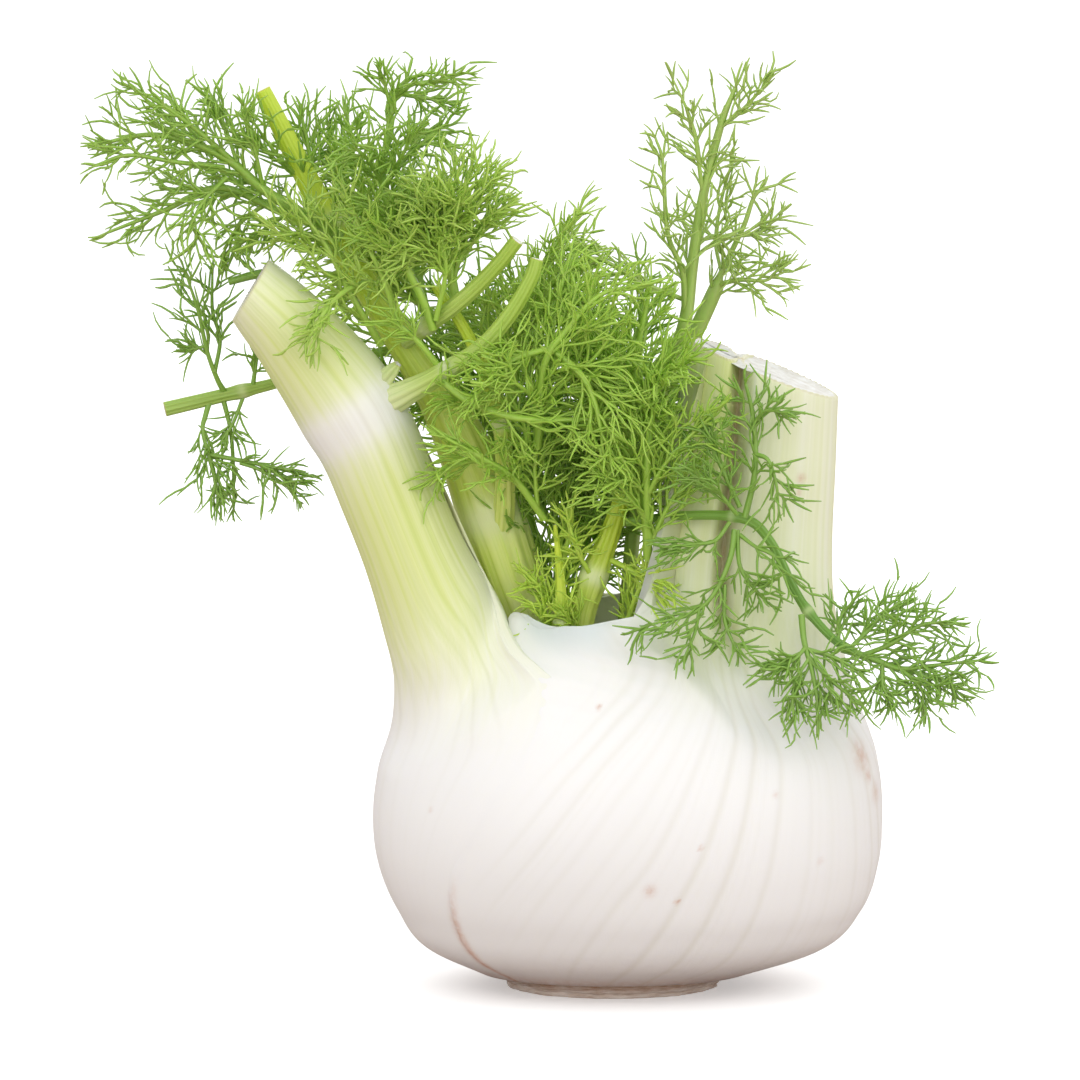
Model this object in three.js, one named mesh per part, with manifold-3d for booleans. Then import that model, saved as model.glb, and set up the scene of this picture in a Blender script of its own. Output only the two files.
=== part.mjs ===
// A Florence fennel bulb with its cut stalks and feathery fronds, standing on its cut root plate.
// Millimetres, +Z up, +X to the right of the broad front face, -Y towards the viewer of that face.
// The origin is the centre of the flat underside of the root plate.
// The bulb is two swollen leaf bases that clasp each other. The left one narrows into one thick stalk that
// leans outwards, and the right one into a pair of upright stalks with a deep groove between them. Young
// stalks and fronds rise from the open throat between the two.
import * as THREE from "three";
import { mergeVertices } from "three/addons/utils/BufferGeometryUtils.js";
import Module from "manifold-3d";

// Driving dimensions
const fitGap = 0.3; // left between neighbouring pieces
const rootWidth = 44;
const rootDepth = 31;
const rootThickness = 3;
const ovalPower = 0.93; // below 1 squares the bulb's oval sections a little
const stalkForkHeight = 80; // the right pair's slanting cut starts to show in its rings from here up
const rightCut = { x: 26, y: -12, z: 126, slopeX: -0.39, slopeY: 0.06 }; // the knife's plane across the pair
const throat = { x: -6.5, y: 0, widthShare: 0.72, depthShare: 1.1 };
const bulbTop = 122; // ring height of the right pair's cut, before the knife's slope
const leftTop = 141; // ring height of the left stalk's cut

const wasm = await Module();
wasm.setup();

// Smooth values between hand-set stops. Each stop is [where, value, value, ...].
function between(stops) {
  const size = stops[0].length - 1;
  const where = new Float32Array(stops.map((stop) => stop[0]));
  const values = new Float32Array(stops.flatMap((stop) => stop.slice(1)));
  const curve = new THREE.CubicInterpolant(where, values, size, new Float32Array(size));
  return (at) => curve.evaluate(THREE.MathUtils.clamp(at, where[0], where[where.length - 1]));
}

// The whole bulb at each height: its left edge, its right edge and half its depth.
const bulb = between([
  [3.3, -27, 28, 19],
  [8.5, -37.6, 43, 28],
  [16, -43.2, 50.4, 33.4],
  [25, -46.9, 53.6, 36.2],
  [34, -48, 54.4, 37],
  [44, -47, 53.8, 35.8],
  [54, -44.6, 51.4, 32.6],
  [62, -43.4, 48.6, 28.6],
  [70, -43, 46, 24.6],
  [78, -43, 45, 20.5],
]);

// Where the two leaf bases meet on the front of the bulb, as an angle round it in degrees.
const frontSeam = between([
  [3.3, 222],
  [14, 224],
  [34, 233],
  [50, 238],
  [64, 241],
  [78, 241],
]);
const backSeam = 415; // and on the back, one turn further on

// The left stalk: centre x and y, half width, half depth and lean in degrees, by height.
const leftStalk = between([
  [46, -27, -3, 16, 19, 0],
  [58, -29.5, -4, 14.2, 16, 5],
  [67, -31.2, -5, 12.8, 14, 10],
  [76, -34.6, -5.5, 11.5, 12, 17],
  [89, -39.6, -6, 10.3, 10.5, 23],
  [101, -44.4, -6, 10.1, 10, 24],
  [112, -49, -6, 10.2, 10, 28],
  [119, -53, -6, 10.5, 10.3, 33],
  [127, -58.8, -6, 9.6, 9.4, 38],
  [135, -65.4, -6, 8.2, 8.6, 41],
  [leftTop, -71.4, -6, 7.2, 8, 59],
]);

// The right pair of stalks: left edge, right edge, centre y, half depth and depth of the groove, by height.
const rightPair = between([
  [48, 0, 49, -3, 24, 0],
  [64, 3, 47.4, -2.5, 19, 0],
  [72, 5, 45.6, -2, 16, 0.25],
  [80, 7, 44.3, -2, 13.4, 0.6],
  [90, 8.6, 44, -2, 12, 0.78],
  [108, 12.4, 44.6, -2, 11, 0.84],
  [bulbTop, 15, 45, -2, 10.4, 0.86],
]);
const grooveAt = -0.27; // share of the pair's half width, from its middle
const grooveWidth = 0.16;
const leafSides = 28; // corners round a leaf base's rings
const leafSteps = 22; // and rings up it

// A point on the bulb's outside at an angle in degrees and a height.
function onBulb(degrees, height) {
  const [left, right, halfDepth] = bulb(height);
  const angle = THREE.MathUtils.degToRad(degrees);
  const across = Math.sign(Math.cos(angle)) * Math.abs(Math.cos(angle)) ** ovalPower;
  const back = Math.sign(Math.sin(angle)) * Math.abs(Math.sin(angle)) ** ovalPower;
  return new THREE.Vector3((left + right) / 2 + ((right - left) / 2) * across, halfDepth * back, height);
}

// The left stalk's oval, which tilts with the stalk.
function onLeftStalk(degrees, height) {
  const [x, y, halfWidth, halfDepth, lean] = leftStalk(height);
  const angle = THREE.MathUtils.degToRad(degrees);
  const tilt = THREE.MathUtils.degToRad(lean);
  const across = halfWidth * Math.cos(angle);
  return new THREE.Vector3(
    x + across * Math.cos(tilt),
    y + halfDepth * Math.sin(angle),
    height + across * Math.sin(tilt),
  );
}

// The right pair's outline: an oval pinched in by the groove, and cut off along the knife's plane.
function onRightPair(degrees, height) {
  const [left, right, y, halfDepth, groove] = rightPair(height);
  const angle = THREE.MathUtils.degToRad(degrees);
  const pinch = 1 - groove * Math.exp(-(((Math.cos(angle) - grooveAt) / grooveWidth) ** 2));
  const point = new THREE.Vector3(
    (left + right) / 2 + ((right - left) / 2) * Math.cos(angle),
    y + halfDepth * Math.sin(angle) * pinch,
    height,
  );
  const cut = rightCut.z + rightCut.slopeX * (point.x - rightCut.x) + rightCut.slopeY * (point.y - rightCut.y);
  const share = Math.max(0, (height - stalkForkHeight) / (bulbTop - stalkForkHeight));
  point.z += share * (cut - bulbTop);
  return point;
}

// Both leaf bases are rings that start as a sector of the bulb and end as the outline of their stalk.
// Round each ring, a stop is [share of the turn, bulb angle, stalk angle, how long the ring keeps to the bulb].
// The bulb's sector is closed by a straight chord, from the share chordStart on.
const chordStart = 0.75;
const leaves = {
  left_leaf_base: {
    colour: "#eef0dc",
    top: leftTop,
    seams: (height) => [backSeam - 360, frontSeam(height)[0]],
    round: between([
      [0, 0, 20, 1],
      [0.2, 0.42, 110, 1],
      [0.375, 0.72, 180, 0],
      [chordStart, 1, 340, 0],
      [1, 1, 380, 1],
    ]),
    leaves: [44, 69],
    holds: [60, 74],
    stalk: onLeftStalk,
  },
  right_leaf_base: {
    colour: "#f0f1de",
    top: bulbTop,
    seams: (height) => [frontSeam(height)[0] - 360, backSeam - 360],
    round: between([
      [0, 0, -172, 1],
      [0.18, 0.26, -108, 1],
      [0.34, 0.48, -58, 0],
      [0.5, 0.72, 0, 0],
      [chordStart, 1, 150, 0],
      [1, 1, 188, 1],
    ]),
    leaves: [48, 76],
    holds: [76, 82],
    stalk: onRightPair,
  },
};

function onLeaf(leaf, turn, height) {
  const [sector, stalkAngle, hold] = leaf.round(turn);
  const [first, last] = leaf.seams(height);
  const point = onBulb(THREE.MathUtils.lerp(first, last, THREE.MathUtils.clamp(sector, 0, 1)), height);
  if (turn > chordStart) {
    point.copy(onBulb(last, height));
    point.lerp(onBulb(first, height), (turn - chordStart) / (1 - chordStart));
  }
  const held = THREE.MathUtils.clamp(hold, 0, 1);
  const start = THREE.MathUtils.lerp(leaf.leaves[0], leaf.holds[0], held);
  const end = THREE.MathUtils.lerp(leaf.leaves[1], leaf.holds[1], held);
  return point.lerp(leaf.stalk(stalkAngle, height), THREE.MathUtils.smoothstep(height, start, end));
}

// Moves the vertices of a closed unit cylinder: place(turn, share) gives a point of its wall,
// and the middle of each end cap goes to the middle of the last ring.
function shapedCylinder(sides, steps, place) {
  const geometry = new THREE.CylinderGeometry(1, 1, 1, sides, steps);
  geometry.deleteAttribute("normal");
  geometry.deleteAttribute("uv");
  const position = geometry.attributes.position;
  const vertex = new THREE.Vector3();
  for (let i = 0; i < position.count; i += 1) {
    vertex.fromBufferAttribute(position, i);
    const share = vertex.y + 0.5;
    if (Math.hypot(vertex.x, vertex.z) > 0.5) {
      const turn = Math.atan2(vertex.x, vertex.z) / (2 * Math.PI);
      vertex.copy(place((Math.round(turn * sides) / sides + 1) % 1, share));
    } else {
      vertex.set(0, 0, 0);
      for (let side = 0; side < sides; side += 1) vertex.addScaledVector(place(side / sides, share), 1 / sides);
    }
    position.setXYZ(i, vertex.x, vertex.y, vertex.z);
  }
  return mergeVertices(geometry, 1e-4);
}

// A leaf base, from just above the root plate to its cut. grow swells it evenly, for use as a cutter.
function leafBase(leaf, grow = 0) {
  const bottom = rootThickness + fitGap;
  const geometry = shapedCylinder(leafSides, leafSteps, (turn, share) =>
    onLeaf(leaf, turn, THREE.MathUtils.lerp(bottom, leaf.top, share ** 1.25)),
  );
  if (grow > 0) {
    geometry.computeVertexNormals();
    const { position, normal } = geometry.attributes;
    for (let i = 0; i < position.count; i += 1)
      position.setXYZ(
        i,
        position.getX(i) + grow * normal.getX(i),
        position.getY(i) + grow * normal.getY(i),
        position.getZ(i) + grow * normal.getZ(i),
      );
    geometry.deleteAttribute("normal");
  }
  return geometry;
}

// A tapering stem along a smooth route. Each point of the route is [x, y, z, radius].
function stem(route, sides, steps) {
  const path = new THREE.CatmullRomCurve3(
    route.map(([x, y, z]) => new THREE.Vector3(x, y, z)),
    false,
    "centripetal",
  );
  const lengths = path.getLengths(20 * (route.length - 1));
  const total = lengths[lengths.length - 1];
  const radius = between(route.map((point, i) => [lengths[20 * i] / total, point[3]]));
  const frames = path.computeFrenetFrames(steps, false);
  return shapedCylinder(sides, steps, (turn, share) => {
    const step = Math.round(share * steps);
    const angle = 2 * Math.PI * turn;
    return path
      .getPointAt(share)
      .addScaledVector(frames.binormals[step], radius(share)[0] * Math.sin(angle))
      .addScaledVector(frames.normals[step], radius(share)[0] * Math.cos(angle));
  });
}

// Geometry to solid and back
function solid(geometry) {
  const vertProperties = new Float32Array(geometry.attributes.position.array);
  const triVerts = new Uint32Array(geometry.index.array);
  return new wasm.Manifold(new wasm.Mesh({ numProp: 3, vertProperties, triVerts }));
}

function geometryOf(made) {
  const largest = made.decompose().sort((a, b) => b.volume() - a.volume())[0];
  const mesh = largest.getMesh();
  const geometry = new THREE.BufferGeometry();
  geometry.setAttribute("position", new THREE.BufferAttribute(mesh.vertProperties, 3));
  geometry.setIndex(new THREE.BufferAttribute(mesh.triVerts, 1));
  return geometry;
}

const fennel = new THREE.Group();

function addPiece(name, geometry, colour, roughness = 0.5) {
  const material = new THREE.MeshStandardMaterial({ color: colour, roughness, metalness: 0 });
  const mesh = new THREE.Mesh(geometry, material);
  mesh.name = name;
  fennel.add(mesh);
}

// Root plate: the cut stem that every leaf base grew from, a low oval disc with a flat underside
function rootPlate() {
  const profile = [
    [0, 0],
    [0.94, 0],
    [1, 0.3],
    [0.97, 1],
    [0, 1],
  ].map(([radius, height]) => new THREE.Vector2((radius * rootWidth) / 2, height * rootThickness));
  const geometry = new THREE.LatheGeometry(profile, 28);
  geometry.rotateX(Math.PI / 2);
  geometry.scale(1, rootDepth / rootWidth, 1);
  return geometry;
}
addPiece("root_plate", rootPlate(), "#b79a7d", 0.85);

// Stalks and twigs: routes of [x, y, z, radius], from the root end to the cut or tip
const stalkColour = "#a9c740";
const stalks = {
  inner_left_stalk: [
    [-10.5, 3, 54, 4],
    [-14.5, 3, 68, 4.9],
    [-20, 3, 83, 5.3],
    [-24.6, 3.5, 96, 5.4],
    [-33, 4, 116, 3.9],
    [-42, 4.5, 130, 2.7],
    [-56.4, 5, 154, 2.2],
    [-69.6, 5, 180, 1.4],
  ],
  inner_fork_stalk: [
    [-21.6, -5, 94.5, 1.7],
    [-21.2, -6, 103, 1.8],
    [-22.4, -6.5, 116, 1.5],
    [-28, -6, 131, 1.2],
    [-35, -5.5, 142, 1],
  ],
  cut_branch_upper: [
    [-35, -10.5, 138, 2],
    [-27.4, -12.5, 142.8, 1.9],
    [-22.4, -14, 147.6, 1.7],
    [-19, -15, 152, 1.5],
  ],
  cut_branch_lower: [
    [-38.4, -10.5, 121.6, 2.7],
    [-34, -13, 125.6, 2.3],
    [-26.4, -15, 131, 2],
    [-20.4, -16, 137.4, 1.9],
    [-16.2, -16.5, 144.6, 1.6],
    [-15, -16.5, 148.4, 1.4],
  ],
  heart_stalk: [
    [-3.5, -4, 56, 1.7],
    [-6.2, -6, 72, 2.3],
    [-4, -6.5, 83, 2.5],
    [-0.6, -6, 92, 1.9],
    [2.4, -5.5, 101, 1.4],
  ],
  heart_shoot: [
    [-9, -8, 56, 1],
    [-10, -10, 75, 1.4],
    [-10.4, -11, 86, 1],
    [-11.4, -11, 95, 0.8],
  ],
  left_twig: [
    [-39, 9.6, 129, 1.4],
    [-52, 11, 125.5, 1.5],
    [-67, 10, 121, 1.6],
    [-78.6, 8.5, 118.4, 1.8],
    [-89.4, 7, 116, 1.8],
  ],
  hanging_stem: [
    [3, -9, 95, 1.2],
    [13.6, -17, 98.6, 1.4],
    [25.6, -18.5, 97.4, 1.7],
    [31, -19.5, 93, 1.5],
    [35.6, -22, 84, 1.4],
    [39, -24.5, 79, 1.3],
    [44.6, -26, 73.4, 1.2],
    [51, -25, 70, 1],
  ],
};

// Leaf bases: the throat is hollowed out of both, and the left one takes its room out of the right one
function throatCup() {
  const profile = [
    [0, 49],
    [8, 50.5],
    [12.5, 56],
    [15.4, 64],
    [16.8, 76],
    [17.6, 96],
    [0, 96],
  ].map(([radius, height]) => new THREE.Vector2(radius, height));
  const geometry = new THREE.LatheGeometry(profile, 24);
  geometry.rotateX(Math.PI / 2);
  geometry.scale(throat.widthShare, throat.depthShare, 1);
  geometry.translate(throat.x, throat.y, 0);
  geometry.deleteAttribute("normal");
  geometry.deleteAttribute("uv");
  return mergeVertices(geometry, 1e-4);
}

const { left_leaf_base: leftLeaf, right_leaf_base: rightLeaf } = leaves;
const cup = solid(throatCup());
const nested = stalks.inner_left_stalk.map(([x, y, z, radius]) => [x, y, z, radius + fitGap]);
const leftSolid = solid(leafBase(leftLeaf)).subtract(cup).subtract(solid(stem(nested, 8, 16)));
const rightSolid = solid(leafBase(rightLeaf)).subtract(cup).subtract(solid(leafBase(leftLeaf, fitGap)));
addPiece("left_leaf_base", geometryOf(leftSolid), leftLeaf.colour, 0.42);
addPiece("right_leaf_base", geometryOf(rightSolid), rightLeaf.colour, 0.42);

for (const [name, route] of Object.entries(stalks)) {
  const steps = 2 * route.length;
  addPiece(name, stem(route, 8, steps), stalkColour, 0.45);
}

// Fronds: a stem with pairs of side branches that curve towards its tip and lean to the front and back by turns.
// reach is the longest side branch. The route is [x, y, z, radius].
const frondColour = "#5f9a2c";
const frondPairs = 4;
const frondLean = 0.45; // how far the side branches leave the frond's own plane
const fronds = {
  far_left_frond: {
    reach: 14,
    route: [
      [-50, -1.5, 141.5, 1.2],
      [-65.8, -1.5, 156.6, 1.1],
      [-75.2, -3, 167, 0.9],
      [-90, -4, 171, 0.7],
      [-104, -4, 169, 0.4],
    ],
  },
  left_low_frond: {
    reach: 11,
    route: [
      [-61, 1, 150, 0.8],
      [-74, 1.5, 154, 0.8],
      [-87, 2, 156.5, 0.6],
      [-101, 2, 151.5, 0.4],
    ],
  },
  long_stalk_frond: {
    reach: 13,
    route: [
      [-59, 8.6, 158, 0.8],
      [-60, 9, 165, 0.7],
      [-60, 9, 172, 0.5],
      [-59, 9, 177, 0.4],
    ],
  },
  crown_frond: {
    reach: 10,
    route: [
      [-36.6, -4, 144.6, 1],
      [-42.5, -2, 154, 1],
      [-46, -1.5, 163, 0.9],
      [-44.6, -1.5, 174, 0.6],
      [-38.6, -1.5, 180, 0.5],
      [-30, -1.5, 180.5, 0.4],
    ],
  },
  upper_left_frond: {
    reach: 15,
    route: [
      [-37.6, 9, 135, 1],
      [-43, 12, 147, 0.9],
      [-50, 13, 157, 0.7],
      [-56, 13, 165, 0.4],
    ],
  },
  upper_middle_frond: {
    reach: 12,
    route: [
      [-31, -8, 137, 1],
      [-31, -8.5, 148, 0.9],
      [-25, -8.5, 157, 0.7],
      [-12, -8.5, 161.6, 0.4],
    ],
  },
  upper_right_frond: {
    reach: 14,
    route: [
      [-20, 3, 118, 1.1],
      [-18, 3, 132, 1],
      [-12, 3, 146, 0.7],
      [-5.6, 3, 156, 0.4],
    ],
  },
  centre_frond: {
    reach: 12,
    route: [
      [-17, -12, 112, 1],
      [-15, -18, 126, 0.9],
      [-5, -20, 131.6, 0.7],
      [4, -21, 124, 0.6],
      [8, -22, 112, 0.4],
    ],
  },
  centre_back_frond: {
    reach: 15,
    route: [
      [-11, 9, 60, 1.4],
      [-10, 11, 90, 1.3],
      [-7, 12.5, 114, 1],
      [-3, 14, 139, 0.4],
    ],
  },
  lower_left_frond: {
    reach: 11,
    route: [
      [-13.6, -10, 96, 0.9],
      [-19, -15, 102, 0.8],
      [-26, -19, 107, 0.6],
      [-33, -21, 110, 0.4],
    ],
  },
  heart_frond: {
    reach: 9,
    route: [
      [-6.6, -13.5, 62, 0.8],
      [-6, -14.5, 78, 0.7],
      [-1.5, -15, 88, 0.6],
      [1, -15.5, 95, 0.4],
    ],
  },
  heart_stalk_frond: {
    reach: 13,
    route: [
      [3.2, -6, 103.4, 1.1],
      [4, -8.5, 116, 0.9],
      [4.4, -9.5, 130, 0.7],
      [7.6, -10, 143, 0.4],
    ],
  },
  right_front_frond: {
    reach: 10,
    route: [
      [6.4, -14, 84, 1],
      [10.4, -21, 100.5, 0.9],
      [14, -20, 111, 0.7],
      [18, -19.5, 121, 0.4],
    ],
  },
  upright_frond: {
    reach: 17,
    route: [
      [1, 6.6, 66, 1.6],
      [2.2, 7, 100, 1.5],
      [9, 7, 123, 1.5],
      [15.6, 7, 140, 1.3],
      [19.4, 7, 161, 0.9],
      [25, 7, 181, 0.5],
    ],
  },
  upright_side_frond: {
    reach: 10,
    route: [
      [3.6, 15, 110, 1.7],
      [12, 15, 131, 1.7],
      [17.6, 15, 138, 1.2],
      [23, 15, 149, 0.7],
      [27, 15, 159, 0.4],
    ],
  },
  node_upper_frond: {
    reach: 8,
    route: [
      [26.6, -21.6, 99.4, 0.7],
      [28.6, -21, 108, 0.6],
      [28, -20.6, 117, 0.5],
      [26, -20.6, 125.6, 0.4],
    ],
  },
  node_lower_frond: {
    reach: 8,
    route: [
      [24.4, -21.5, 94.4, 0.7],
      [22.6, -23.5, 88, 0.6],
      [17, -26, 80, 0.5],
      [5, -28.4, 74.6, 0.4],
    ],
  },
  hanging_frond: {
    reach: 10,
    route: [
      [52.6, -25, 69.8, 0.8],
      [58, -25.5, 69, 0.7],
      [65, -25.5, 69.6, 0.5],
      [72.4, -25, 70.4, 0.4],
    ],
  },
  hanging_lower_frond: {
    reach: 9,
    route: [
      [38, -27.4, 76.6, 0.7],
      [37.6, -29.4, 71, 0.6],
      [39.6, -32, 64.5, 0.5],
      [41.4, -34, 58.4, 0.4],
    ],
  },
  twig_upper_frond: {
    reach: 9,
    route: [
      [-78.8, 5.6, 122, 0.7],
      [-81.4, 5, 131, 0.6],
      [-83.4, 4, 138, 0.5],
      [-86, 3, 145.4, 0.4],
    ],
  },
  twig_lower_frond: {
    reach: 11,
    route: [
      [-80.4, 6.4, 114.4, 0.7],
      [-82, 6, 110, 0.6],
      [-79.6, 5, 104, 0.5],
      [-76.6, 4, 95, 0.4],
    ],
  },
  back_left_frond: {
    reach: 14,
    route: [
      [-13, 13.6, 70, 1.3],
      [-20, 17, 96, 1.2],
      [-29, 20, 122, 0.9],
      [-36, 22, 146, 0.4],
    ],
  },
  back_right_frond: {
    reach: 14,
    route: [
      [-3, 14.4, 70, 1.3],
      [1, 18, 98, 1.2],
      [6, 22, 122, 0.9],
      [9, 25, 144, 0.4],
    ],
  },
};

// Side branches grow longest a third of the way up and shortest at the tip.
function sideBranch(path, share, side, lean, reach) {
  const start = path.getPointAt(share);
  const along = path.getTangentAt(share);
  const out = new THREE.Vector3(along.z, 0, -along.x).normalize().multiplyScalar(side);
  out.y += lean;
  const length = reach * (0.4 + 0.6 * Math.sin(Math.PI * Math.min(1, 0.25 + 0.7 * share)));
  const middle = start.clone().addScaledVector(out, 0.45 * length).addScaledVector(along, 0.35 * length);
  const tip = start.clone().addScaledVector(out, 0.7 * length).addScaledVector(along, 0.8 * length);
  return stem([start, middle, tip].map((point, i) => [...point.toArray(), 0.65 - 0.15 * i]), 3, 2);
}

function frond({ route, reach }) {
  const path = new THREE.CatmullRomCurve3(
    route.map(([x, y, z]) => new THREE.Vector3(x, y, z)),
    false,
    "centripetal",
  );
  let made = solid(stem(route, 5, 2 * (route.length - 1)));
  for (let pair = 0; pair < frondPairs; pair += 1)
    for (const side of [-1, 1]) {
      const share = 0.36 + (0.5 * (pair + 0.15 * side)) / (frondPairs - 1);
      const lean = frondLean * side * (pair % 2 === 0 ? 1 : -1);
      made = made.add(solid(sideBranch(path, share, side, lean, reach)));
    }
  return geometryOf(made);
}
for (const [name, spec] of Object.entries(fronds)) addPiece(name, frond(spec), frondColour, 0.5);

export default fennel;
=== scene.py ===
import math
import random

import bmesh
import bpy
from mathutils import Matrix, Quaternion, Vector, noise


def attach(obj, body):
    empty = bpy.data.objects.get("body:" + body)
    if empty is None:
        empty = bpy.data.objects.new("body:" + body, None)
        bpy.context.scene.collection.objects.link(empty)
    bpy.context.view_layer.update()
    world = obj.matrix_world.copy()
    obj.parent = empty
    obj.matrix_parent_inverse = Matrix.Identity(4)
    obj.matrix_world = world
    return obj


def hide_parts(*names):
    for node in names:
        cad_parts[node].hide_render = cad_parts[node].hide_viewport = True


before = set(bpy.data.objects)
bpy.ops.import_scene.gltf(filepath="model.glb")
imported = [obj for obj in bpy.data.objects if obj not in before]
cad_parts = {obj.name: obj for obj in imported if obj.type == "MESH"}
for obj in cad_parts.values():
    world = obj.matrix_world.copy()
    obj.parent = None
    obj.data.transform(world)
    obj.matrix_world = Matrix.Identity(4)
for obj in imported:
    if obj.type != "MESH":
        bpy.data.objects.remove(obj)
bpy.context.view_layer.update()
print("frame loaded:", len(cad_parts), "nodes")

mm = 0.001


def clamp(value, low=0.0, high=1.0):
    return max(low, min(high, value))


def lerp(a, b, share):
    return a + (b - a) * share


def ease(value, start, end):
    # 0 up to start and 1 from end on, smooth between them
    share = clamp((value - start) / (end - start))
    return share * share * (3 - 2 * share)


def bump(value, middle, width):
    # 1 at the middle, fading away over the width
    return math.exp(-(((value - middle) / width) ** 2))


def smoothTable(rows, samples=400):
    # a smooth curve through rows of (where, value, value, ...), looked up by where
    where = [row[0] for row in rows]
    baked = []
    columns = list(zip(*(row[1:] for row in rows)))
    slopes = []
    for column in columns:
        chords = [(b - a) / (q - p) for a, b, p, q in zip(column, column[1:], where, where[1:])]
        middle = [(low + high) / 2 for low, high in zip(chords, chords[1:])]
        slopes.append([chords[0], *middle, chords[-1]])
    part = 0
    for k in range(samples + 1):
        at = lerp(where[0], where[-1], k / samples)
        while part < len(where) - 2 and at > where[part + 1]:
            part += 1
        width = where[part + 1] - where[part]
        s = (at - where[part]) / width
        fromLow = 1 - 3 * s * s + 2 * s ** 3
        fromLowSlope = s - 2 * s * s + s ** 3
        fromHigh = 3 * s * s - 2 * s ** 3
        fromHighSlope = s ** 3 - s * s
        baked.append([
            fromLow * column[part] + fromLowSlope * width * slope[part]
            + fromHigh * column[part + 1] + fromHighSlope * width * slope[part + 1]
            for column, slope in zip(columns, slopes)
        ])
    first, span = where[0], where[-1] - where[0]

    def value(at):
        along = clamp((at - first) / span) * samples
        k = min(int(along), samples - 1)
        return [lerp(a, b, along - k) for a, b in zip(baked[k], baked[k + 1])]

    return value


def straightTable(rows):
    # straight lines between the rows
    def value(at):
        if at <= rows[0][0]:
            return list(rows[0][1:])
        for low, high in zip(rows, rows[1:]):
            if at <= high[0]:
                share = (at - low[0]) / (high[0] - low[0])
                return [lerp(a, b, share) for a, b in zip(low[1:], high[1:])]
        return list(rows[-1][1:])

    return value


mergeWithin = 2e-6  # metres between vertices that count as one


def finishPiece(bm, name, materials):
    # closes the seams, turns the faces outwards and makes an object of the mesh
    bmesh.ops.remove_doubles(bm, verts=bm.verts, dist=mergeWithin)
    bmesh.ops.recalc_face_normals(bm, faces=bm.faces)
    for face in bm.faces:
        face.smooth = True
    mesh = bpy.data.meshes.new(name)
    bm.to_mesh(mesh)
    bm.free()
    piece = bpy.data.objects.new(name, mesh)
    bpy.context.scene.collection.objects.link(piece)
    for material in materials:
        mesh.materials.append(material)
    return piece


def shapedGrid(name, across, along, placeVert, marks, materials):
    # a grid whose vertices go where placeVert(u, v) says, with the marks it paints on them
    bm = bmesh.new()
    bm.loops.layers.uv.new("surface")
    layers = {mark: bm.verts.layers.float.new(mark) for mark in marks}
    bmesh.ops.create_grid(bm, x_segments=across, y_segments=along, size=1, calc_uvs=True)
    for vert in bm.verts:
        point, painted = placeVert((vert.co.x + 1) / 2, (vert.co.y + 1) / 2)
        vert.co = point * mm
        for mark, value in painted.items():
            vert[layers[mark]] = value
    return finishPiece(bm, name, materials)


def place(piece, slot, *nodes):
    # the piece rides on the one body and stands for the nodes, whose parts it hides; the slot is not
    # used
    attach(piece, "root")
    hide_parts(*nodes)
    return piece


cameraSettings = {
    "lens": 250,
    "sensor": 36,
    "clipEnd": 20,  # metres
    "distance": 1500,
    "elevation": 8,  # degrees that it looks down
    "aim": (-14.4, 0, 90.457),
}


def makeCamera(settings):
    data = bpy.data.cameras.new("camera")
    data.lens = settings["lens"]
    data.sensor_width = settings["sensor"]
    data.clip_end = settings["clipEnd"]
    camera = bpy.data.objects.new("camera", data)
    bpy.context.scene.collection.objects.link(camera)
    tilt = math.radians(settings["elevation"])
    look = Vector((0, math.cos(tilt), -math.sin(tilt)))
    camera.location = (Vector(settings["aim"]) - look * settings["distance"]) * mm
    camera.rotation_euler = look.to_track_quat("-Z", "Y").to_euler()
    bpy.context.scene.camera = camera


lightSettings = {
    "backdrop": 1.0,  # what the camera sees behind the bulb
    "ambient": 0.95,  # what the room gives as light
    "key": {"place": (-400, -980, 560), "size": 1100, "watts": 3.1, "colour": (1.0, 0.995, 0.985)},
    "fill": {"place": (700, -620, 350), "size": 1100, "watts": 2.3, "colour": (0.97, 0.985, 1.0)},
    "back": {"place": (250, 950, 650), "size": 1100, "watts": 2.6, "colour": (1.0, 0.995, 0.985)},
    "target": (-10, 0, 80),
}


def makeLights(settings):
    world = bpy.data.worlds.new("studio")
    world.use_nodes = True
    desk = NodeDesk(world.node_tree)
    seen = desk.add("ShaderNodeLightPath").outputs["Is Camera Ray"]
    span = settings["backdrop"] - settings["ambient"]
    strength = desk.math("ADD", settings["ambient"], desk.math("MULTIPLY", seen, span))
    background = world.node_tree.nodes["Background"]
    background.inputs["Color"].default_value = (1, 1, 1, 1)
    desk.feed(background, "Strength", strength)
    bpy.context.scene.world = world
    for name in ("key", "fill", "back"):
        spec = settings[name]
        data = bpy.data.lights.new(name, "AREA")
        data.shape = "DISK"
        data.size = spec["size"] * mm
        data.energy = spec["watts"]
        data.color = spec["colour"]
        light = bpy.data.objects.new(name, data)
        bpy.context.scene.collection.objects.link(light)
        light.location = Vector(spec["place"]) * mm
        aim = Vector(settings["target"]) - Vector(spec["place"])
        light.rotation_euler = aim.to_track_quat("-Z", "Y").to_euler()


floorSettings = {
    "halfSize": 30,  # metres
    "bounce": (184, 168, 160),  # its colour in the light that it sends back up
    "low": (250, 250, 250),
    "high": (253, 253, 253),
    "glow": 0.3,  # added for the camera only, so that it meets the white backdrop
}


def makeFloor(settings, material):
    bm = bmesh.new()
    bmesh.ops.create_grid(bm, x_segments=2, y_segments=2, size=settings["halfSize"])
    floor = finishPiece(bm, "floor", [material])


bpy.context.scene.view_settings.view_transform = "Standard"
bpy.context.scene.view_settings.look = "None"


def srgb(red, green, blue):
    # 0-255 screen values to the linear colour that a socket takes
    def linear(value):
        value /= 255
        return value / 12.92 if value <= 0.04045 else ((value + 0.055) / 1.055) ** 2.4
    return (linear(red), linear(green), linear(blue), 1)


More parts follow.
